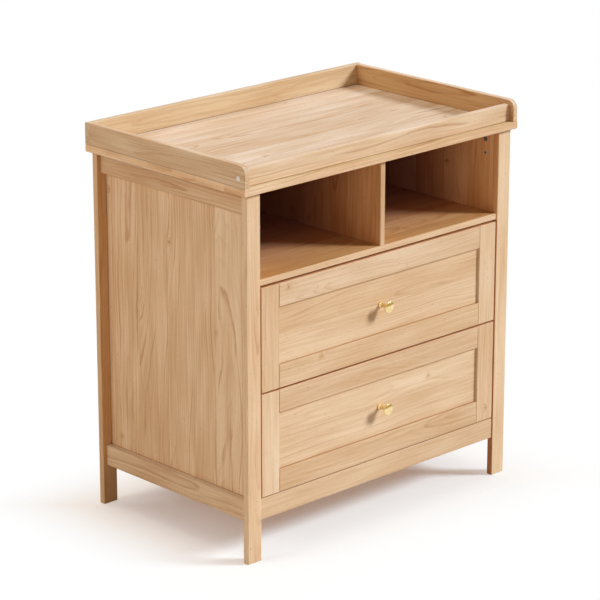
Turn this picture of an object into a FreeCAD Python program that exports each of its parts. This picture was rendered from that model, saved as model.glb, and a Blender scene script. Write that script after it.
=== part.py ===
import FreeCAD, Part
import math
import os

# A changing dresser for a nursery: a wooden chest with a low tray on its top board,
# two open cubbies over two wide drawers, and brass knobs.
# All sizes are in millimetres. +X is to the right of somebody who faces the front,
# +Y runs to the back and +Z up. The origin is on the floor, under the middle of the
# whole dresser, knobs and screw caps included.

Vector = FreeCAD.Vector

# ---------------------------------------------------------------- driving sizes
# Whole piece
overall_height = 930.0            # floor to the top of the tray walls
body_width = 843.0                # over the outer faces of the posts
body_depth = 519.0                # over the front and rear faces of the posts
leg_height = 97.0                 # floor to the underside of the lowest rails

# Top board and the tray walls on it
board_thickness = 18.0
board_side_overhang = 12.5
board_front_overhang = 9.0
board_back_overhang = 8.0
tray_wall_height = 51.0
tray_wall_thickness = 15.0
tray_front_wall_height = 41.0
tray_front_wall_setback = 13.0
tray_corner_radius = 20.0
tray_edge_round = 2.5
tray_seam_bevel = 0.8             # the walls' lowest outer edges, over the board
board_edge_round = 1.5

# Posts, rails and panels of the carcass
post_width = 41.0
post_depth = 16.0
post_edge_round = 2.0
post_foot_bevel = 1.5
rail_height = 50.0
side_rail_thickness = 15.0
side_rail_edge_round = 1.5
side_panel_thickness = 15.0
apron_thickness = 15.0
shelf_thickness = 15.0
divider_thickness = 15.0
edge_bevel = 1.0                  # the sharp edges that a hand meets, taken off
cubby_height = 199.0
front_setback = 3.0               # shelf, divider and apron behind the post faces
back_rail_thickness = 15.0
back_panel_thickness = 5.0
back_groove_lip = 5.0             # wood in front of the back panel's groove
back_groove_depth = 7.0

# Drawer fronts: a frame of stiles and rails round a loose panel
drawer_gap_below = 3.0
drawer_gap_between = 4.0
drawer_gap_above = 5.0
drawer_gap_side = 3.0
drawer_front_setback = 1.0
drawer_frame_thickness = 18.0
drawer_stile_width = 54.0
drawer_rail_width = 54.0
drawer_panel_recess = 6.0
drawer_panel_thickness = 8.0
drawer_groove_depth = 8.0

# Drawer boxes
box_lift = 20.0                   # box underside above the underside of its front
box_headroom = 54.0               # top of the box below the top of its front
box_back_clearance = 34.0         # from the box to the back rails
box_side_thickness = 12.0
box_housing_depth = 4.0           # grooves in the sides that hold the box's ends
box_back_inset = 10.0
box_bottom_thickness = 5.0
box_bottom_lift = 10.0
box_bottom_groove = 5.0

# Ball-bearing runners, each with three nested channels
runner_height = 45.0
runner_start = 2.0                # behind the drawer's front frame
runner_stop_overlap = 50.0        # how far a runner stops short of its own length
runner_thickness = 12.7           # from the side panel to the drawer box
runner_sheet = 1.2
runner_bend_radius = 1.0
runner_race_gap = 3.4             # between two neighbouring channels' flanges
runner_web_gap = 1.8              # between two neighbouring channels' webs
runner_flange_reach = 9.0         # how far the outer channel's flanges stand out
ball_diameter = 4.0
cage_end_margin = 10.0            # from a cage's end to the channel's end
ball_row_margin = 12.0            # from the last ball to the cage's end
cage_sheet = 0.6

# Knobs, each turned from one bar; heights are from the drawer panel's face
knob_diameter = 28.0
knob_projection = 29.0
knob_foot_diameter = 13.5
knob_foot_height = 3.0
knob_foot_bulge = 0.8             # how far the foot's side swells
knob_waist_diameter = 10.0
knob_waist_height = 10.0
knob_head_height = 5.0            # from the flared underside's end to the flat face
knob_rim_height = 1.6
knob_rim_bevel = 0.8
knob_flare_diameter = 17.0        # where the neck's flare meets the head's underside
knob_neck_hollow = 1.0            # how far the neck's curves bend in
knob_thread_depth = 10.0

# Fasteners
cam_diameter = 15.0
cam_depth = 12.0
cam_edge_distance = 24.0
cam_inset = 26.0                  # from the side panel's front edge
cam_slot_length = 9.0
cam_slot_width = 2.0
cam_slot_depth = 2.0
cam_bolt_depth = 7.5              # from the face with the cam to the bolt's middle
cam_bolt_diameter = 7.0
cam_bolt_grip = 11.0              # how far a bolt stands in the next board
shelf_cam_inset = 60.0
insert_diameter = 8.0
insert_bore_diameter = 4.5
insert_depth = 10.0
insert_spacing = 34.0             # below the cam lock over it
dowel_diameter = 8.0
dowel_length = 30.0
dowel_post_depth = 10.0           # the rest of a dowel is in the panel or rail
dowel_inset = 110.0
screw_diameter = 4.0
screw_length = 40.0
screw_head_diameter = 8.0
screw_head_height = 2.4
board_screw_inset = 90.0
cap_diameter = 11.5
cap_seat_depth = 3.0
cap_proud = 0.8
knob_screw_diameter = 4.0
knob_screw_head_diameter = 9.0
knob_screw_head_height = 2.5

# Clearances
drill_clearance = 0.1             # round every dowel, bolt, screw, cam and cap
ball_clearance = 0.3              # between a ball and its race
panel_edge_clearance = 1.0        # lets a panel swell in the depth of its groove
panel_face_clearance = 0.1        # between a panel's face and its groove

parallel_cosine = 0.999           # above it, an edge counts as parallel to a direction

# ---------------------------------------------------------------- worked-out places
knob_reach = knob_projection - drawer_panel_recess - drawer_front_setback
front_reach = max(board_front_overhang, knob_reach)
back_reach = board_back_overhang + cap_proud
front = front_reach - (front_reach + body_depth + back_reach) / 2
back = front + body_depth

post_outer = body_width / 2
inner_face = post_outer - post_width
side_panel_outer = inner_face + side_panel_thickness
side_rail_outer = side_panel_outer + side_rail_thickness
between_posts = (front + post_depth, back - post_depth)

board_top = overall_height - tray_wall_height
board_underside = board_top - board_thickness
board_end = post_outer + board_side_overhang
board_front = front - board_front_overhang
board_back = back + board_back_overhang

low_rail = (leg_height, leg_height + rail_height)
high_rail = (board_underside - rail_height, board_underside)
shelf_top = board_underside - cubby_height
shelf_underside = shelf_top - shelf_thickness

back_rails_y = (between_posts[1], between_posts[1] + back_rail_thickness)
back_groove_y = (
    back_rails_y[0] + back_groove_lip,
    back_rails_y[0] + back_groove_lip + back_panel_thickness + 2 * panel_face_clearance,
)
back_panel_front = back_groove_y[0] + panel_face_clearance

drawer_space = shelf_underside - low_rail[1]
drawer_gaps = drawer_gap_below + drawer_gap_between + drawer_gap_above
drawer_front_height = (drawer_space - drawer_gaps) / 2
lower_drawer_base = low_rail[1] + drawer_gap_below
upper_drawer_base = lower_drawer_base + drawer_front_height + drawer_gap_between
drawer_face = front + drawer_front_setback
drawer_half_width = inner_face - drawer_gap_side
box_front_y = drawer_face + drawer_frame_thickness
box_outer = inner_face - runner_thickness
box_inner = box_outer - box_side_thickness
box_depth = between_posts[1] - box_back_clearance - box_front_y
runner_length = box_depth
drawer_travel = runner_length - runner_stop_overlap


# ---------------------------------------------------------------- small helpers
def plank(x, y, z):
    """A board between a low and a high value along each axis."""
    return Part.makeBox(x[1] - x[0], y[1] - y[0], z[1] - z[0], Vector(x[0], y[0], z[0]))


def rod(start, direction, length, diameter):
    """A round bar that starts at a point and runs along a direction."""
    return Part.makeCylinder(diameter / 2, length, Vector(*start), Vector(*direction))


def mirrored(shape):
    """The same piece on the other side of the dresser."""
    return shape.mirror(Vector(0, 0, 0), Vector(1, 0, 0))


def runs_along(edge, direction):
    """True for a straight edge parallel to a direction."""
    if not isinstance(edge.Curve, Part.Line):
        return False
    return abs(edge.Curve.Direction.dot(Vector(*direction))) > parallel_cosine


def eased(shape, radius, wanted):
    """Round the edges that a test picks out."""
    return shape.makeFillet(radius, [edge for edge in shape.Edges if wanted(edge)])


def bevelled(shape, size, wanted):
    """Take the sharp edges off that a test picks out."""
    return shape.makeChamfer(size, [edge for edge in shape.Edges if wanted(edge)])


def front_bevelled(shape):
    """Take the sharp edges off all round a board's front face."""
    front_face = shape.BoundBox.YMin
    return bevelled(shape, edge_bevel, lambda edge: edge.BoundBox.YMax < front_face + edge_bevel)


def drilled(shape, cutters):
    """Take a list of holes and pockets out of a piece."""
    for cutter in cutters:
        shape = shape.cut(cutter)
    return shape


def raised(shape, height):
    """A copy of a piece higher up."""
    copy = shape.copy()
    copy.translate(Vector(0, 0, height))
    return copy


def revolved(profile, base, axis):
    """Turn a closed profile in the XZ plane about Z, then lay its axis where it goes."""
    solid = Part.Face(profile).revolve(Vector(0, 0, 0), Vector(0, 0, 1), 360)
    solid.Placement = FreeCAD.Placement(
        Vector(*base), FreeCAD.Rotation(Vector(0, 0, 1), Vector(*axis))
    )
    return solid


def line(start, end):
    """A straight edge in the XZ plane, from (radius, height) to (radius, height)."""
    return Part.LineSegment(Vector(start[0], 0, start[1]), Vector(end[0], 0, end[1])).toShape()


def arc(start, middle, end):
    """An arc in the XZ plane through three (radius, height) points."""
    points = [Vector(radius, 0, height) for radius, height in (start, middle, end)]
    return Part.Arc(*points).toShape()


def dome(rim_radius, low, rise):
    """An arc from a rim to the axis, level where it meets the axis."""
    ball_radius = (rim_radius ** 2 + rise ** 2) / (2 * rise)
    half_angle = math.asin(rim_radius / ball_radius) / 2
    middle = (
        ball_radius * math.sin(half_angle),
        low + rise - ball_radius * (1 - math.cos(half_angle)),
    )
    return arc((rim_radius, low), middle, (0, low + rise))


def turned(segments, base, axis):
    """A turned piece from its half outline, given as edges in order."""
    return revolved(Part.Wire(segments), base, axis)


# ---------------------------------------------------------------- fasteners
def screw(head, direction):
    """A countersunk wood screw, from the middle of its head's flat top."""
    half_head = screw_head_diameter / 2
    half_shank = screw_diameter / 2
    outline = [
        line((0, 0), (half_head, 0)),
        line((half_head, 0), (half_shank, screw_head_height)),
        line((half_shank, screw_head_height), (half_shank, screw_length)),
        line((half_shank, screw_length), (0, screw_length)),
        line((0, screw_length), (0, 0)),
    ]
    return turned(outline, head, direction)


def screw_hole(head, direction):
    """The countersunk hole that a wood screw fills."""
    half_head = screw_head_diameter / 2 + drill_clearance
    half_shank = screw_diameter / 2 + drill_clearance
    outline = [
        line((0, 0), (half_head, 0)),
        line((half_head, 0), (half_shank, screw_head_height)),
        line((half_shank, screw_head_height), (half_shank, screw_length)),
        line((half_shank, screw_length), (0, screw_length)),
        line((0, screw_length), (0, 0)),
    ]
    return turned(outline, head, direction)


def stepped(point, direction, distance):
    """The point at a distance from another along a direction."""
    return tuple(place + distance * step for place, step in zip(point, direction))


def opposite(direction):
    """The direction the other way."""
    return tuple(-step for step in direction)


def screw_cap(surface, outward):
    """A slightly domed plug over a sunk screw, from the middle of its seat's mouth."""
    half = cap_diameter / 2
    outline = [
        line((0, -cap_seat_depth), (half, -cap_seat_depth)),
        line((half, -cap_seat_depth), (half, 0)),
        dome(half, 0, cap_proud),
        line((0, cap_proud), (0, -cap_seat_depth)),
    ]
    return turned(outline, surface, outward)


def cap_seat(surface, outward):
    """The shallow counterbore that a screw cap fills."""
    return rod(surface, opposite(outward), cap_seat_depth, cap_diameter + 2 * drill_clearance)


def cam_lock(place):
    """A round cam in a board's face: a bore for its bolt and a slot for the driver."""
    surface, outward, bolt_way = place
    cam = rod(surface, opposite(outward), cam_depth, cam_diameter)
    axis_point = stepped(surface, outward, -cam_bolt_depth)
    bore = rod(axis_point, bolt_way, cam_diameter, cam_bolt_diameter + 2 * drill_clearance)
    slot = Part.makeBox(
        cam_slot_length, cam_slot_width, cam_slot_depth,
        Vector(-cam_slot_length / 2, -cam_slot_width / 2, -cam_slot_depth),
    )
    slot.Placement = FreeCAD.Placement(
        Vector(*surface), FreeCAD.Rotation(Vector(0, 0, 1), Vector(*outward))
    )
    return cam.cut(bore).cut(slot)


def cam_bolt(place):
    """The bolt that a cam pulls: from the cam's middle into the next board."""
    surface, outward, bolt_way = place
    axis_point = stepped(surface, outward, -cam_bolt_depth)
    return rod(axis_point, bolt_way, cam_edge_distance + cam_bolt_grip, cam_bolt_diameter)


def cam_drilling(place):
    """What a cam lock and its bolt need drilled, in both of the boards they join."""
    surface, outward, bolt_way = place
    pocket = rod(surface, opposite(outward), cam_depth, cam_diameter + 2 * drill_clearance)
    axis_point = stepped(surface, outward, -cam_bolt_depth)
    bore = rod(
        axis_point, bolt_way,
        cam_edge_distance + cam_bolt_grip + drill_clearance,
        cam_bolt_diameter + 2 * drill_clearance,
    )
    return pocket.fuse(bore)


def dowel(place):
    """A wooden dowel across a joint, from the joint's middle and direction."""
    middle, direction = place
    return rod(stepped(middle, direction, -dowel_length / 2), direction, dowel_length, dowel_diameter)


def dowel_hole(place):
    """The hole for a dowel, in both of the boards that it joins."""
    middle, direction = place
    length = dowel_length + 2 * drill_clearance
    start = stepped(middle, direction, -length / 2)
    return rod(start, direction, length, dowel_diameter + 2 * drill_clearance)


def panel_insert(surface, outward):
    """A threaded metal insert, flush with the board's face."""
    inward = opposite(outward)
    body = rod(surface, inward, insert_depth, insert_diameter)
    return body.cut(rod(surface, inward, insert_depth - drill_clearance, insert_bore_diameter))


# ---------------------------------------------------------------- where the fasteners go
panel_cam_rows = (between_posts[0] + cam_inset, between_posts[1] - cam_inset)
shelf_cam_rows = (front + front_setback + shelf_cam_inset, back_panel_front - shelf_cam_inset)
apron_back = front + front_setback + apron_thickness
inward_x = {1: (-1, 0, 0), -1: (1, 0, 0)}
sides = (1, -1)

board_cams = [
    ((side * inner_face, row, board_underside - cam_edge_distance), inward_x[side], (0, 0, 1))
    for side in sides for row in panel_cam_rows
]
shelf_cams = [
    ((side * (inner_face - cam_edge_distance), row, shelf_underside), (0, 0, -1), (side, 0, 0))
    for side in sides for row in shelf_cam_rows
]
apron_cams = [
    ((side * (inner_face - cam_edge_distance), apron_back, sum(low_rail) / 2), (0, 1, 0), (side, 0, 0))
    for side in sides
]
back_rail_cams = [
    ((side * (inner_face - cam_edge_distance), back_rails_y[0], sum(rail) / 2),
     (0, -1, 0), (side, 0, 0))
    for side in sides for rail in (low_rail, high_rail)
]
cam_places = board_cams + shelf_cams + apron_cams + back_rail_cams
cam_drillings = [cam_drilling(place) for place in cam_places]

insert_height = board_underside - cam_edge_distance - insert_spacing
insert_places = [
    ((side * inner_face, row, insert_height), inward_x[side])
    for side in sides for row in panel_cam_rows
]
insert_holes = [
    rod(surface, opposite(outward), insert_depth, insert_diameter + 2 * drill_clearance)
    for surface, outward in insert_places
]

panel_middle_x = inner_face + side_panel_thickness / 2
rail_middle_x = side_panel_outer + side_rail_thickness / 2
dowel_shift = dowel_length / 2 - dowel_post_depth
front_dowel_y = between_posts[0] + dowel_shift
back_dowel_y = between_posts[1] - dowel_shift
panel_dowel_heights = (leg_height + dowel_inset, board_underside - dowel_inset)
panel_dowels = [
    ((side * panel_middle_x, front_dowel_y, z), (0, 1, 0))
    for side in sides for z in panel_dowel_heights
]
rail_dowels = [
    ((side * rail_middle_x, y, sum(rail) / 2), (0, 1, 0))
    for side in sides for rail in (low_rail, high_rail) for y in (front_dowel_y, back_dowel_y)
]
# A shelf is thinner than half a dowel is long, so a dowel there stands higher.
divider_dowel_heights = (shelf_top + (dowel_length - shelf_thickness) / 2, board_underside)
divider_dowels = [
    ((0, y, z), (0, 0, 1)) for y in shelf_cam_rows for z in divider_dowel_heights
]
dowel_places = panel_dowels + rail_dowels + divider_dowels
dowel_holes = [dowel_hole(place) for place in dowel_places]

# Screws from below the board into the tray walls, and sunk, capped screws at the
# tray's corners.
tray_side_x = board_end - tray_wall_thickness / 2
tray_back_y = board_back - tray_wall_thickness / 2
tray_front_y = board_front + tray_front_wall_setback + tray_wall_thickness / 2
board_screw_rows = (board_front + board_screw_inset, tray_back_y - board_screw_inset)
board_screw_places = (
    [((side * tray_side_x, y, board_underside), (0, 0, 1)) for side in sides for y in board_screw_rows]
    + [((side * (inner_face - board_screw_inset), y, board_underside), (0, 0, 1))
       for side in sides for y in (tray_front_y, tray_back_y)]
)
front_cap_height = board_top + tray_front_wall_height / 2
back_cap_height = board_top + tray_wall_height / 2
cap_places = (
    [((side * board_end, tray_front_y, front_cap_height), (side, 0, 0)) for side in sides]
    + [((side * tray_side_x, board_back, back_cap_height), (0, 1, 0)) for side in sides]
)
capped_screw_places = [
    (stepped(surface, outward, -cap_seat_depth), opposite(outward))
    for surface, outward in cap_places
]
screw_places = board_screw_places + capped_screw_places
tray_drillings = (
    [screw_hole(*place) for place in screw_places]
    + [cap_seat(*place) for place in cap_places]
)


# ---------------------------------------------------------------- tray and top board
def top_board():
    board = plank((-board_end, board_end), (board_front, board_back), (board_underside, board_top))

    def is_level(edge):
        return edge.BoundBox.ZMax - edge.BoundBox.ZMin < board_edge_round

    board = eased(board, board_edge_round, is_level)
    return drilled(board, tray_drillings + cam_drillings + dowel_holes)


def tray_side_wall():
    """The right wall: its front top corner is a quarter round."""
    low, high = board_top, overall_height
    near, far = board_front, board_back - tray_wall_thickness
    radius = tray_corner_radius
    turn = radius * (1 - 0.5 ** 0.5)
    corners = [
        Vector(0, near, low), Vector(0, far, low), Vector(0, far, high),
        Vector(0, near + radius, high), Vector(0, near, high - radius),
    ]
    outline = Part.Wire([
        Part.LineSegment(corners[0], corners[1]).toShape(),
        Part.LineSegment(corners[1], corners[2]).toShape(),
        Part.LineSegment(corners[2], corners[3]).toShape(),
        Part.Arc(corners[3], Vector(0, near + turn, high - turn), corners[4]).toShape(),
        Part.LineSegment(corners[4], corners[0]).toShape(),
    ])
    wall = Part.Face(outline).extrude(Vector(tray_wall_thickness, 0, 0))
    wall.translate(Vector(board_end - tray_wall_thickness, 0, 0))

    def on_the_rim(edge):
        """The long top edges, the quarter round and the upright front edges."""
        level = edge.BoundBox
        if runs_along(edge, (1, 0, 0)):
            return False
        at_top = level.ZMin > high - radius - tray_edge_round
        at_front = level.YMax < near + tray_edge_round
        return at_top and not runs_along(edge, (0, 0, 1)) or at_front

    def at_the_seam(edge):
        level = edge.BoundBox
        return level.ZMax < low + tray_seam_bevel and level.XMin > board_end - tray_edge_round

    return bevelled(eased(wall, tray_edge_round, on_the_rim), tray_seam_bevel, at_the_seam)


def tray_straight_wall(x, y, height):
    """A wall across the board, its two top edges rounded and the two under them bevelled."""
    wall = plank(x, y, (board_top, board_top + height))
    wall = eased(
        wall, tray_edge_round,
        lambda edge: runs_along(edge, (1, 0, 0)) and edge.BoundBox.ZMin > board_top,
    )
    return bevelled(
        wall, tray_seam_bevel,
        lambda edge: runs_along(edge, (1, 0, 0)) and edge.BoundBox.ZMax < board_top + tray_seam_bevel,
    )


def tray_walls():
    right = tray_side_wall()
    back_wall = tray_straight_wall(
        (-board_end, board_end), (board_back - tray_wall_thickness, board_back), tray_wall_height
    )
    clear_half = board_end - tray_wall_thickness
    front_start = board_front + tray_front_wall_setback
    front_wall = tray_straight_wall(
        (-clear_half, clear_half), (front_start, front_start + tray_wall_thickness),
        tray_front_wall_height,
    )
    walls = {
        "tray_right_wall": right,
        "tray_left_wall": mirrored(right),
        "tray_back_wall": back_wall,
        "tray_front_wall": front_wall,
    }
    return {name: drilled(wall, tray_drillings) for name, wall in walls.items()}


# ---------------------------------------------------------------- carcass
back_panel_half = inner_face + back_groove_depth - panel_edge_clearance
back_panel_z = (
    low_rail[1] - back_groove_depth + panel_edge_clearance,
    high_rail[0] + back_groove_depth - panel_edge_clearance,
)
back_groove = plank(
    (-inner_face - back_groove_depth, inner_face + back_groove_depth),
    back_groove_y,
    (low_rail[1] - back_groove_depth, high_rail[0] + back_groove_depth),
)


def post(at_back):
    """One of the right posts, which stand on the floor and carry the top board."""
    y = (back - post_depth, back) if at_back else (front, front + post_depth)
    shape = plank((inner_face, post_outer), y, (0, board_underside))

    shape = eased(shape, post_edge_round, lambda edge: runs_along(edge, (0, 0, 1)))
    shape = bevelled(shape, post_foot_bevel, lambda edge: edge.BoundBox.ZMax < post_foot_bevel)
    cutters = cam_drillings + dowel_holes
    return drilled(shape, cutters + [back_groove] if at_back else cutters)


def side_rail(z):
    """A rail over the side panel's outer face, between the right posts."""
    shape = plank((side_panel_outer, side_rail_outer), between_posts, z)
    shape = eased(
        shape, side_rail_edge_round,
        lambda edge: runs_along(edge, (0, 1, 0)) and edge.BoundBox.XMin > side_panel_outer,
    )
    return drilled(shape, dowel_holes)


def side_panel():
    """The right panel, from the lower rail's underside to the top board."""
    shape = plank((inner_face, side_panel_outer), between_posts, (leg_height, board_underside))
    return drilled(shape, cam_drillings + insert_holes + dowel_holes)


def back_rail(z):
    """A rail between the back posts, grooved for the back panel."""
    shape = plank((-inner_face, inner_face), back_rails_y, z)
    return drilled(shape, cam_drillings + [back_groove])


def on_long_front_edge(edge):
    """True for the two long edges of the shelf's or the apron's front face."""
    at_front = edge.BoundBox.YMax < front + front_setback + edge_bevel
    return at_front and runs_along(edge, (1, 0, 0))


def cubby_shelf():
    shape = plank(
        (-inner_face, inner_face), (front + front_setback, back_panel_front),
        (shelf_underside, shelf_top),
    )
    shape = bevelled(shape, edge_bevel, on_long_front_edge)
    return drilled(shape, cam_drillings + dowel_holes)


def cubby_divider():
    """It stands on the shelf and is notched round the upper back rail."""
    half = divider_thickness / 2
    shape = plank((-half, half), (front + front_setback, back_panel_front), (shelf_top, board_underside))
    shape = bevelled(
        shape, edge_bevel,
        lambda edge: runs_along(edge, (0, 0, 1)) and edge.BoundBox.YMax < front + front_setback + edge_bevel,
    )
    notch = plank((-divider_thickness, divider_thickness), back_rails_y, high_rail)
    return drilled(shape, [notch] + dowel_holes)


def front_apron():
    shape = plank((-inner_face, inner_face), (front + front_setback, apron_back), low_rail)
    return drilled(bevelled(shape, edge_bevel, on_long_front_edge), cam_drillings)


def back_panel():
    return plank(
        (-back_panel_half, back_panel_half),
        (back_panel_front, back_panel_front + back_panel_thickness),
        back_panel_z,
    )


def carcass():
    right = {
        "front_right_post": post(at_back=False),
        "back_right_post": post(at_back=True),
        "right_side_panel": side_panel(),
        "upper_right_side_rail": side_rail(high_rail),
        "lower_right_side_rail": side_rail(low_rail),
    }
    left = {name.replace("right", "left"): mirrored(shape) for name, shape in right.items()}
    across = {
        "top_board": top_board(),
        "cubby_shelf": cubby_shelf(),
        "cubby_divider": cubby_divider(),
        "front_apron": front_apron(),
        "back_panel": back_panel(),
        "upper_back_rail": back_rail(high_rail),
        "lower_back_rail": back_rail(low_rail),
    }
    return {**right, **left, **across}


def fasteners():
    return {
        "cam_locks": [cam_lock(place) for place in cam_places],
        "cam_bolts": [cam_bolt(place) for place in cam_places],
        "panel_inserts": [panel_insert(*place) for place in insert_places],
        "wood_dowels": [dowel(place) for place in dowel_places],
        "tray_screws": [screw(*place) for place in screw_places],
        "tray_screw_caps": [screw_cap(*place) for place in cap_places],
    }


# ---------------------------------------------------------------- runners
# Each channel is drawn in the XZ plane for the right-hand runner, with its own
# height of 0 at the runner's middle, and is drawn out along the drawer's travel.
runner_lane = (
    box_front_y + runner_start,
    box_front_y + runner_start + runner_length,
)
outer_half = runner_height / 2
race_step = runner_sheet + runner_race_gap
middle_half = outer_half - race_step
inner_half = middle_half - race_step
outer_ball_height = outer_half - runner_sheet - runner_race_gap / 2
inner_ball_height = middle_half - runner_sheet - runner_race_gap / 2

outer_web = inner_face
middle_web = outer_web - runner_sheet - runner_web_gap
inner_web = box_outer + runner_sheet
outer_tip = outer_web - runner_sheet - runner_flange_reach
middle_tip = outer_tip - runner_sheet
inner_tip = middle_web - runner_sheet - runner_web_gap
outer_ball_x = (middle_web + outer_tip) / 2
inner_ball_x = (inner_tip + middle_tip) / 2


def channel(web_face, tip, half_height, sheet, lane):
    """A folded channel: its web's outer face, its flange tips and its half height."""
    way = 1 if tip > web_face else -1
    inside = half_height - sheet
    points = [
        (web_face, -half_height), (tip, -half_height), (tip, -inside),
        (web_face + way * sheet, -inside), (web_face + way * sheet, inside),
        (tip, inside), (tip, half_height), (web_face, half_height),
    ]
    outline = Part.makePolygon([Vector(x, lane[0], z) for x, z in points + points[:1]])
    shape = Part.Face(outline).extrude(Vector(0, lane[1] - lane[0], 0))

    def at_a_fold(edge):
        return runs_along(edge, (0, 1, 0)) and abs(edge.BoundBox.XMin - web_face) < sheet / 2

    return eased(shape, min(runner_bend_radius, sheet), at_a_fold)


def raced(shape, ball_x, ball_height):
    """Roll the grooves that the balls run in, one above and one below."""
    race_diameter = ball_diameter + 2 * ball_clearance
    start, length = runner_lane[0], runner_length
    races = [rod((ball_x, start, z), (0, 1, 0), length, race_diameter) for z in (ball_height, -ball_height)]
    return drilled(shape, races)


def cabinet_member():
    shape = channel(outer_web, outer_tip, outer_half, runner_sheet, runner_lane)
    return raced(shape, outer_ball_x, outer_ball_height)


def middle_member():
    shape = channel(middle_web, middle_tip, middle_half, runner_sheet, runner_lane)
    shape = raced(shape, outer_ball_x, outer_ball_height)
    return raced(shape, inner_ball_x, inner_ball_height)


def drawer_member():
    shape = channel(box_outer, inner_tip, inner_half, runner_sheet, runner_lane)
    return raced(shape, inner_ball_x, inner_ball_height)


def ball_cage(web_face, tip, ball_x, ball_height):
    """A thin strip folded round both rows of balls, between two channels.

    It rolls half as far as the two channels part, so it stands back from the
    runner's front end by a quarter of the travel. The balls touch one another, and
    each row of them is drawn as one round bar of their diameter.
    """
    start = runner_lane[0] + drawer_travel / 4 + cage_end_margin
    length = runner_length - drawer_travel / 2 - 2 * cage_end_margin
    shape = channel(web_face, tip, ball_height + cage_sheet / 2, cage_sheet, (start, start + length))
    row_start, row_length = start + ball_row_margin, length - 2 * ball_row_margin
    rows = [
        rod((ball_x, row_start, z), (0, 1, 0), row_length, ball_diameter)
        for z in (ball_height, -ball_height)
    ]
    return shape.multiFuse(rows)


def outer_cage():
    web_face = outer_web - runner_sheet - (runner_web_gap - cage_sheet) / 2
    return ball_cage(web_face, outer_tip + cage_sheet, outer_ball_x, outer_ball_height)


def inner_cage():
    web_face = middle_web - runner_sheet - (runner_web_gap - cage_sheet) / 2
    return ball_cage(web_face, middle_tip + cage_sheet, inner_ball_x, inner_ball_height)


def both_sides(shape, height):
    """The right-hand piece and its mirror image, at a runner's height."""
    right = raised(shape, height)
    return [right, mirrored(right)]


# ---------------------------------------------------------------- drawers
# A drawer is built with the underside of its front at height 0.
frame_y = (drawer_face, drawer_face + drawer_frame_thickness)
panel_y = (drawer_face + drawer_panel_recess, drawer_face + drawer_panel_recess + drawer_panel_thickness)
groove_y = (panel_y[0] - panel_face_clearance, panel_y[1] + panel_face_clearance)
opening_half = drawer_half_width - drawer_stile_width
groove_half = opening_half + drawer_groove_depth
groove_z = (
    drawer_rail_width - drawer_groove_depth,
    drawer_front_height - drawer_rail_width + drawer_groove_depth,
)
box_z = (box_lift, drawer_front_height - box_headroom)
box_y = (box_front_y, box_front_y + box_depth)
box_end_half = box_inner + box_housing_depth
box_front_wall_y = (box_y[0], box_y[0] + box_side_thickness)
box_back_wall_y = (box_y[1] - box_back_inset - box_side_thickness, box_y[1] - box_back_inset)
bottom_z = (box_z[0] + box_bottom_lift, box_z[0] + box_bottom_lift + box_bottom_thickness)
bottom_groove = plank(
    (-box_inner - box_bottom_groove, box_inner + box_bottom_groove),
    (box_front_wall_y[1] - box_bottom_groove, box_back_wall_y[0] + box_bottom_groove),
    (bottom_z[0] - panel_face_clearance, bottom_z[1] + panel_face_clearance),
)
knob_height = drawer_front_height / 2
knob_screw_bore = rod(
    (0, box_front_wall_y[1], knob_height), (0, -1, 0),
    box_front_wall_y[1] - panel_y[0] + knob_thread_depth,
    knob_screw_diameter + 2 * drill_clearance,
)
runner_height_in_drawer = (box_z[0] + box_z[1]) / 2


def front_stile():
    """The right stile, as tall as the front, with a groove down its inner edge."""
    shape = front_bevelled(plank((opening_half, drawer_half_width), frame_y, (0, drawer_front_height)))
    groove = plank((opening_half, groove_half), groove_y, (0, drawer_front_height))
    return shape.cut(groove)


def front_rail(z, edge_groove_z):
    """A rail between the stiles, with a tongue in each stile's groove."""
    body = front_bevelled(plank((-opening_half, opening_half), frame_y, z))
    tongue = plank((-groove_half, groove_half), panel_y, z)
    groove = plank((-groove_half, groove_half), groove_y, edge_groove_z)
    return body.fuse(tongue).cut(groove).removeSplitter()


def front_panel():
    """The loose panel, set back in the frame and free to swell in its grooves."""
    half = groove_half - panel_edge_clearance
    z = (groove_z[0] + panel_edge_clearance, groove_z[1] - panel_edge_clearance)
    return plank((-half, half), panel_y, z).cut(knob_screw_bore)


def box_side():
    """The right side, grooved for the bottom and housed for the two ends."""
    shape = bevelled(
        plank((box_inner, box_outer), box_y, box_z), edge_bevel,
        lambda edge: runs_along(edge, (0, 1, 0)) and edge.BoundBox.ZMin > box_z[0],
    )
    housings = [
        plank((box_inner, box_end_half), end_y, box_z) for end_y in (box_front_wall_y, box_back_wall_y)
    ]
    return drilled(shape, housings + [bottom_groove])


def box_end(y):
    """The box's front or back wall, let into the sides."""
    return plank((-box_end_half, box_end_half), y, box_z).cut(bottom_groove)


def box_bottom():
    half = box_inner + box_bottom_groove - panel_edge_clearance
    y = (
        box_front_wall_y[1] - box_bottom_groove + panel_edge_clearance,
        box_back_wall_y[0] + box_bottom_groove - panel_edge_clearance,
    )
    return plank((-half, half), y, bottom_z)


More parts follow.
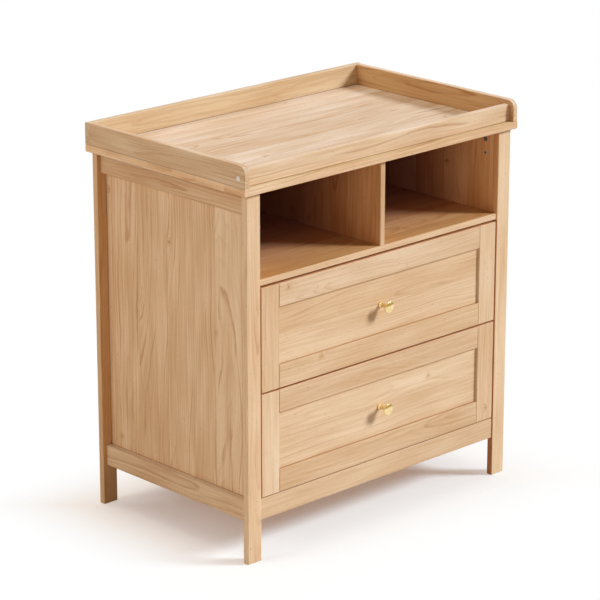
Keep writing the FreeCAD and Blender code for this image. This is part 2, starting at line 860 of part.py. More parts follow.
def knob():
    """A turned knob: a swollen foot, a hollow neck that flares, and a thin, flat head."""
    foot, waist = knob_foot_diameter / 2, knob_waist_diameter / 2
    flare, rim = knob_flare_diameter / 2, knob_diameter / 2
    rim_top = knob_projection - knob_rim_bevel
    rim_bottom = rim_top - knob_rim_height
    flare_end = (flare, knob_projection - knob_head_height)
    foot_end = (foot, knob_foot_height)
    narrowest = (waist, knob_waist_height)
    foot_swell = (foot + knob_foot_bulge, knob_foot_height / 2)
    lower_hollow = (
        (foot + waist) / 2 - knob_neck_hollow, (knob_foot_height + knob_waist_height) / 2
    )
    upper_hollow = (
        (flare + waist) / 2 - knob_neck_hollow, (knob_waist_height + flare_end[1]) / 2
    )
    outline = [
        line((0, 0), (foot, 0)),
        arc((foot, 0), foot_swell, foot_end),
        arc(foot_end, lower_hollow, narrowest),
        arc(narrowest, upper_hollow, flare_end),
        line(flare_end, (rim, rim_bottom)),
        line((rim, rim_bottom), (rim, rim_top)),
        line((rim, rim_top), (rim - knob_rim_bevel, knob_projection)),
        line((rim - knob_rim_bevel, knob_projection), (0, knob_projection)),
        line((0, knob_projection), (0, 0)),
    ]
    return turned(outline, (0, panel_y[0], knob_height), (0, -1, 0)).cut(knob_screw_bore)


def knob_screw():
    """From inside the box, through its front wall and the panel, into the knob."""
    wall = box_front_wall_y[1]
    head = rod((0, wall, knob_height), (0, 1, 0), knob_screw_head_height, knob_screw_head_diameter)
    length = wall - panel_y[0] + knob_thread_depth - drill_clearance
    return head.fuse(rod((0, wall, knob_height), (0, -1, 0), length, knob_screw_diameter))


def drawer_pieces():
    stile = front_stile()
    side = box_side()
    low_z = (0, drawer_rail_width)
    high_z = (drawer_front_height - drawer_rail_width, drawer_front_height)
    return {
        "front_right_stile": stile,
        "front_left_stile": mirrored(stile),
        "front_top_rail": front_rail(high_z, (high_z[0], groove_z[1])),
        "front_bottom_rail": front_rail(low_z, (groove_z[0], low_z[1])),
        "front_panel": front_panel(),
        "box_right_side": side,
        "box_left_side": mirrored(side),
        "box_front_wall": box_end(box_front_wall_y).cut(knob_screw_bore),
        "box_back_wall": box_end(box_back_wall_y),
        "box_bottom": box_bottom(),
        "knob": knob(),
        "knob_screw": knob_screw(),
    }


def drawers():
    pieces = drawer_pieces()
    sliding = {
        "runner_drawer_members": drawer_member(),
        "runner_middle_members": middle_member(),
        "runner_outer_cages": outer_cage(),
        "runner_inner_cages": inner_cage(),
    }
    nodes = {}
    for drawer, base in (("upper", upper_drawer_base), ("lower", lower_drawer_base)):
        for name, shape in pieces.items():
            nodes[f"{drawer}_drawer_{name}"] = raised(shape, base)
        for name, shape in sliding.items():
            nodes[f"{drawer}_{name}"] = both_sides(shape, base + runner_height_in_drawer)
    return nodes


def cabinet_members():
    """The four runner members that are fixed to the side panels."""
    member = cabinet_member()
    bases = (upper_drawer_base, lower_drawer_base)
    return [piece for base in bases for piece in both_sides(member, base + runner_height_in_drawer)]


# ---------------------------------------------------------------- write the pieces
def write_node(name, pieces):
    """One file per node: a single solid, or a group of separate ones."""
    solids = pieces if isinstance(pieces, list) else [pieces]
    solids = [solid for piece in solids for solid in piece.Solids]
    shape = solids[0] if len(solids) == 1 else Part.makeCompound(solids)
    shape.exportStep(os.path.join("parts", name + ".step"))


os.makedirs("parts", exist_ok=True)
dresser = {
    **carcass(),
    **tray_walls(),
    **fasteners(),
    **drawers(),
    "runner_cabinet_members": cabinet_members(),
}
for node_name, node_pieces in dresser.items():
    write_node(node_name, node_pieces)
print(f"{len(dresser)} nodes, drawer fronts {drawer_front_height:.1f} mm high")
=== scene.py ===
# %% [markdown]
# # A wooden changing dresser, finished in Blender
# The construction arrives as a packed frame: every board, runner and screw is already
# there at its real size. This lesson gives each of them its surface, adds the small
# metalwork that is too fine for the frame, and sets up the floor, light and camera.

# %% Load the frame
import bmesh
import bpy
import math
import random
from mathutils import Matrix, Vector
from types import SimpleNamespace


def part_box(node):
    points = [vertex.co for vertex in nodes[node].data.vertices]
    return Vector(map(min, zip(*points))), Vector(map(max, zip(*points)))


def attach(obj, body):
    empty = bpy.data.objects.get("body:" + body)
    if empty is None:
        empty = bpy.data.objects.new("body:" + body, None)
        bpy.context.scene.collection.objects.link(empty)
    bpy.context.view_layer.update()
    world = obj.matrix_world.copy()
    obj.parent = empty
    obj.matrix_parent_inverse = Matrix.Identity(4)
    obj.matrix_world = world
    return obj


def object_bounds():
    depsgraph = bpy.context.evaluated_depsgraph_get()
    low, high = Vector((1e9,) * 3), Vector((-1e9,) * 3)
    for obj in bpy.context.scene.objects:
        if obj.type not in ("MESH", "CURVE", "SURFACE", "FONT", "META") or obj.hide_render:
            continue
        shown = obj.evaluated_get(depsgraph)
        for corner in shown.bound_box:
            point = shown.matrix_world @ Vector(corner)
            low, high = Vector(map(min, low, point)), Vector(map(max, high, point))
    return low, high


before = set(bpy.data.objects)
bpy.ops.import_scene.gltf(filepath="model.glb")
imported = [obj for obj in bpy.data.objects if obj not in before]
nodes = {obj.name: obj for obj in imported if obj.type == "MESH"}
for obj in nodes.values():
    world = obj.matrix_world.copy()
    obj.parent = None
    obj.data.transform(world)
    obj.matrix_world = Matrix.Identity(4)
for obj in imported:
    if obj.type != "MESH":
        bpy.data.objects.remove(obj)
cad_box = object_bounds()
print(f"{len(nodes)} nodes, box {[round(value, 4) for corner in cad_box for value in corner]}")

# %% [markdown]
# ## Measuring the frame
# A finish depends on where a board begins and ends. Typed in, such places would be wrong
# after the first change to the part, so they are read from the frame, in millimetres.

# %% Where each board begins and ends
MILLIMETRES = 1000.0                     # in one of Blender's metres
AXES = {"x": 0, "y": 1, "z": 2}
SIDES = (("left", -1), ("right", 1))


def low(node, axis):
    """Where a piece begins along an axis, in millimetres."""
    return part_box(node)[0][AXES[axis]] * MILLIMETRES


def high(node, axis):
    """Where a piece ends along an axis, in millimetres."""
    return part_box(node)[1][AXES[axis]] * MILLIMETRES


def outer_inner(node, sign):
    """The x of the outer face of a piece at one side, and that of its inner face."""
    ends = low(node, "x"), high(node, "x")
    return ends if sign < 0 else ends[::-1]


CUBBY_MOUTH = low("cubby_shelf", "y")
SHELF_LEVEL = low("cubby_shelf", "z")
print("cubbies open at y", round(CUBBY_MOUTH, 1), "over a shelf at z", round(SHELF_LEVEL, 1))

# %% [markdown]
# ## Arithmetic on shader sockets
# Wood figure is a formula: growth rings are distances from the heart of a tree, bent by
# slow noise. Node by node that would be a long list of links, so one small class wraps
# an output socket and lets Python's own operators add the Math nodes.

# %% A socket that can be added and multiplied
COLOUR_MIX = {"data_type": "RGBA", "clamp_factor": True}
MIX_FACTOR, MIX_FIRST, MIX_SECOND, MIX_RESULT = 0, 6, 7, 2


class Signal:
    """One output of a shader node. What is done to it in Python adds nodes."""

    def __init__(self, socket):
        self.socket = socket

    @staticmethod
    def node(tree, kind, settings=None, sockets=None, output=0):
        """Add a node: first its settings, then the values or links of its sockets."""
        made = tree.nodes.new(kind)
        for name, value in (settings or {}).items():
            if name == "stops":
                fill_ramp(made.color_ramp, value)
            else:
                setattr(made, name, value)
        for name, value in (sockets or {}).items():
            if isinstance(value, Signal):
                tree.links.new(value.socket, made.inputs[name])
            else:
                made.inputs[name].default_value = value
        return Signal(made.outputs[output])

    def output(self, name):
        """Another output of the same node."""
        return Signal(self.socket.node.outputs[name])

    def after(self, kind, settings, sockets, output=0):
        """A node in the same material."""
        return Signal.node(self.socket.id_data, kind, settings, sockets, output)

    def math(self, operation, *others):
        """A Math node whose first value is this one."""
        values = dict(enumerate((self, *others)))
        return self.after("ShaderNodeMath", {"operation": operation}, values)

    def combine(self, operation, left, right):
        """Numbers meet in a Math node, points and colours in a Vector Math node."""
        pair = (left, right)
        if all(value.socket.type == "VALUE" for value in pair if isinstance(value, Signal)):
            return self.after("ShaderNodeMath", {"operation": operation}, dict(enumerate(pair)))
        filled = [
            (value,) * 3 if isinstance(value, (int, float))
            else value[:3] if isinstance(value, tuple) else value
            for value in pair
        ]
        return self.after("ShaderNodeVectorMath", {"operation": operation}, dict(enumerate(filled)))

    def __add__(self, other):
        return self.combine("ADD", self, other)

    def __radd__(self, other):
        return self.combine("ADD", other, self)

    def __sub__(self, other):
        return self.combine("SUBTRACT", self, other)

    def __rsub__(self, other):
        return self.combine("SUBTRACT", other, self)

    def __mul__(self, other):
        return self.combine("MULTIPLY", self, other)

    def __rmul__(self, other):
        return self.combine("MULTIPLY", other, self)

    def __truediv__(self, other):
        return self.combine("DIVIDE", self, other)

    def parts(self):
        """The three numbers of a point or a colour."""
        split = self.after("ShaderNodeSeparateXYZ", {}, {0: self})
        return [split.output(axis) for axis in ("X", "Y", "Z")]

    def eased(self, start, end):
        """0 below one value, 1 above another, and a soft step between them."""
        return self.after(
            "ShaderNodeMapRange", {"interpolation_type": "SMOOTHSTEP"},
            {"Value": self, "From Min": start, "From Max": end},
        )

    def blend(self, first, second):
        """From one colour to another as this mask goes from 0 to 1."""
        sockets = {MIX_FACTOR: self, MIX_FIRST: first, MIX_SECOND: second}
        return self.after("ShaderNodeMix", COLOUR_MIX, sockets, MIX_RESULT)


print("a socket takes", ", ".join(name for name in vars(Signal) if not name.startswith("_")))

# %% [markdown]
# ## Points, noise and relief
# Every finish below measures places on the piece, clouds them with noise and adds marks
# too fine for a mesh. A place is read from the piece's own coordinates, so the grain
# stays with a drawer that slides. World coordinates would let it swim.

# %% Points, noise and relief
def fill_ramp(ramp, stops):
    """Set a colour ramp from a list of (position, colour)."""
    while len(ramp.elements) < len(stops):
        ramp.elements.new(1.0)
    for element, (position, colour) in zip(ramp.elements, stops):
        element.position = position
        element.color = colour


def point(x, y, z):
    """A point from three numbers, of which at least one is a signal."""
    some = next(value for value in (x, y, z) if isinstance(value, Signal))
    return some.after("ShaderNodeCombineXYZ", {}, {"X": x, "Y": y, "Z": z})


def noise(where, detail=2.0, roughness=0.5, output=0):
    """Cloudy noise with one cell per unit of the point that it is given."""
    sockets = {"Vector": where, "Scale": 1.0, "Detail": detail, "Roughness": roughness}
    return where.after("ShaderNodeTexNoise", {"noise_dimensions": "3D"}, sockets, output)


def relief(height, strength, distance):
    """Fine marks as a change of shading, for the shader's Normal."""
    sockets = {"Height": height, "Strength": strength, "Distance": distance}
    return height.after("ShaderNodeBump", {}, sockets)


def coordinates(tree):
    """The piece's own millimetres, which stay with it when a drawer slides."""
    return Signal.node(tree, "ShaderNodeTexCoord", output="Object") * MILLIMETRES


print("points, noise and relief ready")

# %% [markdown]
# ## An empty finish
# A material starts as one main shader. What is the same all over the piece is set on the
# shader's own socket; what changes over the piece is linked to it afterwards.

# %% An empty finish
def paint_colour(red, green, blue):
    """A colour from the numbers that a paint chart or a screen gives."""
    def linear(value):
        share = value / 255.0
        return share / 12.92 if share <= 0.04045 else ((share + 0.055) / 1.055) ** 2.4

    return (linear(red), linear(green), linear(blue), 1.0)


def new_finish(name, **values):
    """A material, its node tree and its main shader, with the constant sockets set."""
    material = bpy.data.materials.new(name)
    material.use_nodes = True
    surface = material.node_tree.nodes["Principled BSDF"]
    for socket, value in values.items():
        surface.inputs[socket.replace("_", " ")].default_value = value
    return material, material.node_tree, surface


def feed(tree, surface, **signals):
    """Link what changes over the surface to the main shader."""
    for socket, signal in signals.items():
        tree.links.new(signal.socket, surface.inputs[socket.replace("_", " ")])


print("middle grey on a screen is", round(paint_colour(128, 128, 128)[0], 3), "of white")

# %% [markdown]
# ## The wood's colours
# All of the boards are one pale hardwood under a thin satin lacquer. A ramp of three
# ground colours gives its slow changes, and the darker ones draw late wood, pores, knots
# and glue. A single brown for everything would look printed.

# %% Colours of the wood
PALE_WOOD = paint_colour(240, 214, 182)
MIDDLE_WOOD = paint_colour(226, 193, 155)
TAN_WOOD = paint_colour(211, 171, 128)
LATE_WOOD = paint_colour(184, 128, 80)
PORE_BROWN = paint_colour(150, 104, 68)
KNOT_BROWN = paint_colour(132, 84, 50)
GLUE_LINE = paint_colour(176, 134, 96)
# joint lines: stain and painted shade in one
JOINT_BROWN = paint_colour(164, 112, 66)
GROOVE_TAN = paint_colour(206, 126, 66)
GROUND_STOPS = [(0.1, TAN_WOOD), (0.5, MIDDLE_WOOD), (0.92, PALE_WOOD)]
print(len(GROUND_STOPS), "ground colours")

# %% [markdown]
# ## Tones by place
# Inside a cubby or a gap, light goes from board to board and comes out darker and redder.
# The lamps here give part of that. The rest is painted, as the photograph's own lamps
# aren't known: a tone multiplies the wood's colour inside a range of the piece's own axes,
# and was set by comparing the render with the photograph. In a cubby it changes with
# depth. The price is that a tone stays when the light changes: the outer edges of a
# drawer's front look orange once it is open.

# %% Tones by place
SKIN = 1.2                               # how deep a tone on a face goes
TONE_EDGE = 0.6                          # over how many millimetres a tone fades
CUBBY_FADE = 310.0                       # from a cubby's mouth tone to its deep tone


def even(red, green, blue):
    """A tone that is the same at a cubby's mouth and deep inside."""
    return ((red, green, blue, 1.0),) * 2


def near(axis, place):
    """The thin layer about one plane, as a range for a tone."""
    return axis, place - SKIN, place + SKIN


def tone_in(tones, *ranges):
    """Tones for the part of a board inside every one of the ranges (axis, start, end)."""
    return ranges, tones


def within(axes, ranges):
    """1 where a point is inside every one of the ranges, 0 outside."""
    inside = None
    for axis, start, end in ranges:
        place = axes[AXES[axis]]
        in_range = place.eased(start, start + TONE_EDGE) * (1 - place.eased(end - TONE_EDGE, end))
        inside = in_range if inside is None else inside * in_range
    return inside


def toned(colour, axes, tones):
    """Multiply the colour by each tone, inside its ranges."""
    for ranges, (mouth_tone, deep_tone) in tones:
        shade = mouth_tone
        if mouth_tone != deep_tone:
            deep_in = axes[AXES["y"]].eased(CUBBY_MOUTH, CUBBY_MOUTH + CUBBY_FADE)
            shade = deep_in.blend(mouth_tone, deep_tone)
        colour = within(axes, ranges).blend(colour, colour * shade)
    return colour


# painted shade in the cubbies: warmer at the mouth, dark deep inside. The shelf's also darkens the
# top board's underside
CUBBY_WALL_PAINTED_SHADE = (1.18, 1.01, 0.80, 1.0), (0.46, 0.33, 0.38, 1.0)
SHELF_PAINTED_SHADE = (0.81, 0.64, 0.42, 1.0), (0.48, 0.34, 0.45, 1.0)
print("a tone on a face is", SKIN, "mm deep")

# %% [markdown]
# ## Joint lines
# Where two boards meet, a thin brown line is drawn: partly lacquer and dust gathered in the
# corner, partly painted shade for the shadow that falls into it. A mesh could have a groove
# there, but it would be finer than a pixel. So the line is painted, stain and shade in one:
# full on the joint, gone within two millimetres, and only on the face that shows.

# %% Joint lines
JOINT_CORE, JOINT_REACH = 0.3, 1.7
JOINT_FACE = (0.8, 1.4)
JOINT_STRENGTH = 0.75


def joint_stain_and_painted_shade(colour, axes, joints, joint_colour):
    """Painted joint lines, stain and shade in one, each (axis, place, face axis, face place)."""
    for axis, place, face_axis, face_place in joints:
        off_line = (axes[AXES[axis]] - place).math("ABSOLUTE")
        off_face = (axes[AXES[face_axis]] - face_place).math("ABSOLUTE")
        line = (1 - off_line.eased(JOINT_CORE, JOINT_REACH)) * (1 - off_face.eased(*JOINT_FACE))
        colour = (line * JOINT_STRENGTH).blend(colour, joint_colour)
    return colour


print("a joint line is", 2 * JOINT_REACH, "mm wide")

# %% [markdown]
# ## Staves
# One plank as wide as a side panel would warp, so a joiner glues panels up from narrower
# staves. Each could be its own mesh. Here a Voronoi texture in one dimension cuts the
# board instead: it gives every stave its own random numbers, and the distance to a seam.

# %% Staves
WIDE_STAVE, PANEL_STAVE = 92.0, 120.0
STAVE_JITTER = 0.75


def staves(across, width, shift):
    """Where a point is in its stave, how far a seam is, and three random numbers."""
    place = {"W": across / width + shift, "Scale": 1.0, "Randomness": STAVE_JITTER}
    one_way = {"voronoi_dimensions": "1D"}
    cell = across.after("ShaderNodeTexVoronoi", one_way, place, "Color")
    inside = across - (cell.output("W") - shift) * width
    to_edge = {**one_way, "feature": "DISTANCE_TO_EDGE"}
    seam = cell.after("ShaderNodeTexVoronoi", to_edge, place) * width
    return inside, seam, cell.parts()


print("staves are about", WIDE_STAVE, "and", PANEL_STAVE, "mm wide")

# %% [markdown]
# ## Knots
# A pale board has a pin knot here and there, and the rings swirl round it. A Voronoi
# texture scatters the places evenly, and a random number per cell leaves most of them out.

# %% Knots
KNOT_SPACING = 85.0
KNOT_ODDS = (0.93, 0.95)


def knots(length, width, seed):
    """How far the closest knot is, and whether it is there."""
    place = point(length / KNOT_SPACING, width / KNOT_SPACING, seed)
    cell = place.after(
        "ShaderNodeTexVoronoi", {"voronoi_dimensions": "2D"}, {"Vector": place, "Scale": 1.0}
    )
    chance = cell.output("Color").parts()[0].eased(*KNOT_ODDS)
    return cell * KNOT_SPACING, chance


print("about one cell in", round(1 / (1 - sum(KNOT_ODDS) / 2)), "has a knot")

# %% [markdown]
# ## A board as a slice of a tree
# A board is cut from a tree, so each gets a tree of its own. The heart runs along the
# board, at some depth below its face and a little tilted. The rings round it then draw
# arches on the face, straight lines on the edges and arcs on the ends, all from one
# formula. An image of wood could do none of that at a corner.

# %% Cut a board from a tree
LOG_LENGTH, STAVE_LOG_LENGTH = 9000.0, 7000.0
STAVE_SHIFT = 50.0
BOARD_TILT, STAVE_TILT = 0.07, 0.2
HEART_NEAREST, HEART_FARTHEST = 16.0, 60.0
HEART_OFFSET = 26.0
STAVE_HEART_SWING = 1.7                  # of a stave's width
SEAM_EDGE = (0.15, 0.8)
LIP_THICKNESS = 0.8


def cut_from_tree(dice, run, width, depth, middle_across, stave, wander):
    """Where each point of a board, or of each stave in it, lies in its tree."""
    cut = SimpleNamespace(width=width, depth=depth)
    tilt = dice.uniform(-BOARD_TILT, BOARD_TILT) * wander
    if stave:
        cut.inside, seam, chances = staves(width, stave, dice.uniform(0, STAVE_SHIFT))
        cut.length = run + (chances[0] * STAVE_LOG_LENGTH + dice.uniform(0, LOG_LENGTH))
        cut.heart_across = (chances[1] - 0.5) * stave * STAVE_HEART_SWING
        lean = (chances[0] - 0.5) * (STAVE_TILT * wander)
        cut.heart_deep = chances[2] * HEART_FARTHEST + HEART_NEAREST + run * lean
        cut.shade = chances[0] - 0.5
        cut.seam = 1 - seam.eased(*SEAM_EDGE)
    else:
        cut.inside, cut.seam = width - middle_across, None
        cut.length = run + dice.uniform(0, LOG_LENGTH)
        cut.heart_across = dice.uniform(-HEART_OFFSET, HEART_OFFSET)
        side = dice.choice((-1, 1))
        cut.heart_deep = run * tilt + side * dice.uniform(HEART_NEAREST, HEART_FARTHEST)
        cut.shade = dice.uniform(-0.5, 0.5)
    return cut


def lip_ends(cut, run, half_length, shift):
    """Turn the grain at a board's two ends, where a strip is glued over the end grain."""
    lip = run.math("ABSOLUTE").math("GREATER_THAN", half_length - LIP_THICKNESS)
    across_end = cut.width + shift
    cut.length = cut.length + (across_end - cut.length) * lip
    cut.inside = cut.inside + (cut.depth - cut.inside) * lip
    cut.depth = cut.depth + (half_length - cut.depth) * lip
    cut.seam = cut.seam * (1 - lip)
    cut.shade = cut.shade * (1 - lip)
    cut.heart_across = cut.heart_across * (1 - lip)


print("a heart lies", HEART_NEAREST, "to", HEART_FARTHEST, "mm deep in a whole board")

# %% [markdown]
# ## Growth rings
# A ring is wide and pale in spring and ends in a thin dark line of late wood. The distance
# from the heart, divided by a ring's width, counts the years: its fraction is the season,
# and its whole part picks how good the year was. Slow noise bends the whole tree.

# %% Growth rings
RING_WIDTH = 5.6
SWAY, RIPPLE = 62.0, 6.5                 # how far slow and quick bends push a ring
RING_DRIFT = 2.4                         # how many rings the widths drift by
KNOT_SWIRL = (1.5, 15.0)
SWIRL_RINGS = 1.3
LATE_START, LATE_END = (0.42, 0.9), (0.92, 1.0)
PATCH_EDGE = (0.38, 0.62)


def stretched(length, across, depth, along_size, cross_size):
    """A point for noise whose clouds are long with the grain and narrow across it."""
    return point(length / along_size, across / cross_size, depth / cross_size)


def growth(cut, seed, wander):
    """Late wood, where it shows, how the grain bends, and the closest knot."""
    length, inside, depth = cut.length, cut.inside, cut.depth
    knot, knot_here = knots(length, cut.width, seed)
    swirl = (1 - knot.eased(*KNOT_SWIRL)) * knot_here
    slow = point(length / 430, inside / 240, depth / 240 + seed)
    sway = noise(slow, 1.0, output="Color") - 0.5
    ripple = noise(stretched(length, inside, depth, 85, 24), 2.0, output="Color") - 0.5
    bend = (sway * (SWAY * wander) + ripple * (RIPPLE * wander)).parts()
    off_across = inside - cut.heart_across + bend[0]
    off_deep = depth - cut.heart_deep + bend[1]
    radius = (off_across * off_across + off_deep * off_deep).math("SQRT")
    drift = noise(point(radius / 20, length / 900, seed), 1.0) * RING_DRIFT
    ring = radius / RING_WIDTH + drift + swirl * SWIRL_RINGS
    season = ring.math("FRACT")
    year = ring.math("FLOOR") + seed
    good_year = year.after("ShaderNodeTexWhiteNoise", {"noise_dimensions": "1D"}, {"W": year})
    patch = noise(stretched(length, inside, depth, 130, 24), 1.0).eased(*PATCH_EDGE)
    late = season.eased(*LATE_START) - season.eased(*LATE_END)
    late = late * (good_year * good_year * 0.85 + 0.15)
    return SimpleNamespace(
        rings=late * (patch * 0.75 + 0.25), patch=patch, bend=bend[0],
        knot=knot, knot_here=knot_here, swirl=swirl,
    )


print("a ring is", RING_WIDTH, "mm wide")

# %% [markdown]
# ## From grain to colour
# Over the ground colour lie, in order, the late wood, short dashes of open pores, the
# knots' hearts and a faint change from fibre to fibre. Each is a mask that blends in its
# own brown, so one can be tried without the others.

# %% From grain to colour
LATE_STRENGTH, KNOT_STRENGTH = 0.8, 0.6
KNOT_HEART = (0.4, 3.0)
PORE_EDGE = (0.68, 0.76)


def grain_colour(cut, grown, figure):
    """The wood's colour, with the fibres and the dashes of pores that drew it."""
    length, depth = cut.length, cut.depth
    bent = cut.inside + grown.bend * 0.35
    streak = noise(stretched(length, bent, depth, 190, 5.5), 3.0, 0.6)
    cloud = noise(stretched(length, bent, depth, 230, 48), 1.0)
    fibre = noise(point(length / 26, cut.inside * 1.1, depth * 1.1), 2.0)
    dashes = noise(stretched(length, bent, depth, 13, 1.9), 1.0).eased(*PORE_EDGE)
    tone = ((streak - 0.5) * 1.15 + (cloud - 0.5) * 0.95) * (0.4 + 0.6 * figure) + 0.5
    tone = tone + cut.shade * 0.45 - grown.swirl * 0.35
    ground = tone.after("ShaderNodeValToRGB", {"stops": GROUND_STOPS}, {"Fac": tone})
    colour = (grown.rings * (LATE_STRENGTH * figure)).blend(ground, LATE_WOOD)
    colour = (dashes * (0.2 + 0.35 * (1 - grown.patch))).blend(colour, PORE_BROWN)
    heart = (1 - grown.knot.eased(*KNOT_HEART)) * grown.knot_here
    colour = (heart * KNOT_STRENGTH).blend(colour, KNOT_BROWN)
    return colour * (fibre * 0.1 + 0.95), fibre, dashes


print("late wood blends in up to", LATE_STRENGTH)

# %% [markdown]
# ## The whole wood finish
# The steps above come together here: cut the board, grow its rings, colour it, tint it,
# then add tones and joint lines. The lacquer is satin, so it is fairly rough, and late
# wood and pores are sunk a little, as relief in the shading.

# %% The whole wood finish
LACQUER_IOR = 1.45
SATIN_GLOSS, SATIN_DULLNESS = 0.3, 0.52
GLUE_STRENGTH = 0.4
GRAIN_RELIEF = 0.00025


def wood(
    name, along, across, middle, half_length, seed,
    stave=None, figure=1.0, wander=1.0, tint=None, joints=(), tones=(), lipped=False,
    joint_colour=JOINT_BROWN, gloss=SATIN_GLOSS, dullness=SATIN_DULLNESS,
):
    """A solid wood finish.

    along and across name the axes of the grain and of the board's width. The board's
    middle, half its length, and the usual width of its staves are in millimetres. A
    lipped board has a strip of long grain glued over each end.
    """
    dice = random.Random(seed)
    material, tree, surface = new_finish(name, Specular_IOR_Level=gloss, IOR=LACQUER_IOR)
    axes = coordinates(tree).parts()
    deep = ({0, 1, 2} - {AXES[along], AXES[across]}).pop()
    run = axes[AXES[along]] - middle[AXES[along]]
    width, depth = axes[AXES[across]], axes[deep] - middle[deep]
    cut = cut_from_tree(dice, run, width, depth, middle[AXES[across]], stave, wander)
    if lipped:
        lip_ends(cut, run, half_length, dice.uniform(0, LOG_LENGTH))
    grown = growth(cut, seed, wander)
    colour, fibre, dashes = grain_colour(cut, grown, figure)
    if tint:
        colour = colour * tint
    if cut.seam:
        colour = (cut.seam * GLUE_STRENGTH).blend(colour, GLUE_LINE)
    colour = joint_stain_and_painted_shade(toned(colour, axes, tones), axes, joints, joint_colour)
    height = fibre * 0.5 + (1 - grown.rings) * 0.5 - dashes * 0.4
    feed(
        tree, surface,
        Base_Color=colour,
        Roughness=grown.rings * 0.06 + fibre * 0.1 + dullness,
        Normal=relief(height, 0.3, GRAIN_RELIEF),
    )
    return material


print("wood finish ready")

# %% [markdown]
# ## Which way each board's grain runs
# A joiner runs the grain along the length of a board, because wood is strong that way and
# hardly shrinks. Posts, stiles, side panels and the divider stand, so theirs is upright.
# The rest lies along the board. Every board takes the next seed, so no two are alike, and
# the order below is kept, because another order would give each board another tree.

# %% Dress a board
STANDING, ACROSS_FRONT, FRONT_TO_BACK = "z", "x", "y"
seeds = iter(range(1, 200))


def dress(node, material):
    """Give a CAD node its finish."""
    for slot in nodes[node].material_slots:
        slot.material = material


def board(node, along, across, **options):
    """Finish one board with wood of its own."""
    start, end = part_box(node)
    middle = (start + end) / 2 * MILLIMETRES
    half_length = (end - start)[AXES[along]] / 2 * MILLIMETRES
    name = f"wood_{node}"
    dress(node, wood(name, along, across, middle, half_length, next(seeds), **options))


print("boards can be dressed")

# %% [markdown]
# ## Posts
# Each corner is one upright post, planed all round. Its inner side borders the drawers
# below and a cubby above, so it takes a painted shade for each. The back posts take them
# too, which from behind leaves a thin orange line beside the back panel. Two posts have a
# tint of their own, to bring them to their shade in the photograph.

# %% Posts
POST_TINTS = {"front_left_post": (1.0, 0.99, 0.98), "front_right_post": (1.17, 1.32, 1.50)}
POST_FIGURES = {"front_right_post": 0.3}
POST_FIGURE = 0.6
# painted shade beside the drawers, painted warm bounce light and shade at the cubbies, and painted
# shade in the niche beside the left side panel
POST_GAP_PAINTED_SHADE = even(0.80, 0.44, 0.27)       # beside the drawers
CUBBY_POST_PAINTED_BOUNCE = even(1.14, 0.86, 0.60)
NICHE_PAINTED_SHADE = even(0.98, 0.85, 0.68)     # on a back post, beside the left side panel
# painted light: the left faces of the left posts and the top board are lightened
LEFT_SIDE_PAINTED_LIGHT = even(1.07, 1.08, 1.09)
LEFT_HALF = ("x", -900.0, 0.0)


def finish_post(place, side, sign):
    """One of the four corner posts."""
    post = f"{place}_{side}_post"
    _, gap_side = outer_inner(post, sign)
    board(
        post, STANDING, "x", wander=0.6, tint=POST_TINTS.get(post),
        figure=POST_FIGURES.get(post, POST_FIGURE),
        tones=[
            tone_in(POST_GAP_PAINTED_SHADE, near("x", gap_side), ("z", 0.0, SHELF_LEVEL)),
            tone_in(CUBBY_POST_PAINTED_BOUNCE, near("x", gap_side), ("z", SHELF_LEVEL, high(post, "z"))),
            tone_in(NICHE_PAINTED_SHADE, near("y", low("back_left_post", "y")), LEFT_HALF),
            tone_in(LEFT_SIDE_PAINTED_LIGHT, near("x", low("front_left_post", "x"))),
        ],
    )


print("posts stand", round(high("front_left_post", "z")), "mm high")

# %% [markdown]
# ## Side panels and their rails
# The panel is glued up from upright staves and sits behind two rails. Its four edges meet
# the posts and rails in a brown joint line, and its inner face is a cubby's wall.

# %% Side panels and rails
SIDE_PANEL_TINT = (1.125, 1.135, 1.15)
SIDE_RAIL_TINT = (1.035, 1.02, 1.015)
# painted light: up-facing edges are cooled, against the warm top lamp
TOP_EDGE_PAINTED_LIGHT = even(0.84, 0.95, 1.15)  # top edges read cooler in the photograph


def painted_top_light(node):
    """The painted light on a board's top edge: a cooler tone against the warm top lamp."""
    return tone_in(TOP_EDGE_PAINTED_LIGHT, near("z", high(node, "z")))


def finish_side(side, sign):
    """A side panel and the two rails in front of it."""
    panel = f"{side}_side_panel"
    upper_rail, lower_rail = f"upper_{side}_side_rail", f"lower_{side}_side_rail"
    outer, inner = outer_inner(panel, sign)
    board(
        panel, STANDING, "y", stave=WIDE_STAVE, wander=0.9, tint=SIDE_PANEL_TINT,
        joints=[
            ("z", high(lower_rail, "z"), "x", outer), ("z", low(upper_rail, "z"), "x", outer),
            ("y", low(panel, "y"), "x", outer), ("y", high(panel, "y"), "x", outer),
        ],
        # painted shade on the inner face, a cubby's wall
        tones=[tone_in(CUBBY_WALL_PAINTED_SHADE, near("x", inner))],
    )
    for rail in (upper_rail, lower_rail):
        board(
            rail, FRONT_TO_BACK, "z", wander=0.6, tint=SIDE_RAIL_TINT,
            joints=[("x", outer, "z", high(rail, "z"))], tones=[painted_top_light(rail)],
        )


print("side panels start at y", round(low("left_side_panel", "y"), 1))

# %% [markdown]
# ## The tray's side walls
# They stand on the board's ends and are rounded at the front top corner. Inside, a wall
# gets light mostly from the board, so it is warmer there than on top: a painted shade,
# darker and warmer, stands for that. The top edges and the rounded corner take the painted
# light of top edges.

# %% The tray's side walls
# painted shade and warm bounce light on the walls' inner faces
TRAY_WALL_PAINTED_SHADE = even(0.75, 0.635, 0.462)
LEFT_WALL_TINT = (1.0, 1.035, 1.08)
RIM_CORNER = 14.0                        # how far the rounded corner's tone reaches
RIM_SKIN, RIM_FRONT = 0.8, 1.0
WALL_TOP_MARGIN = 1.5


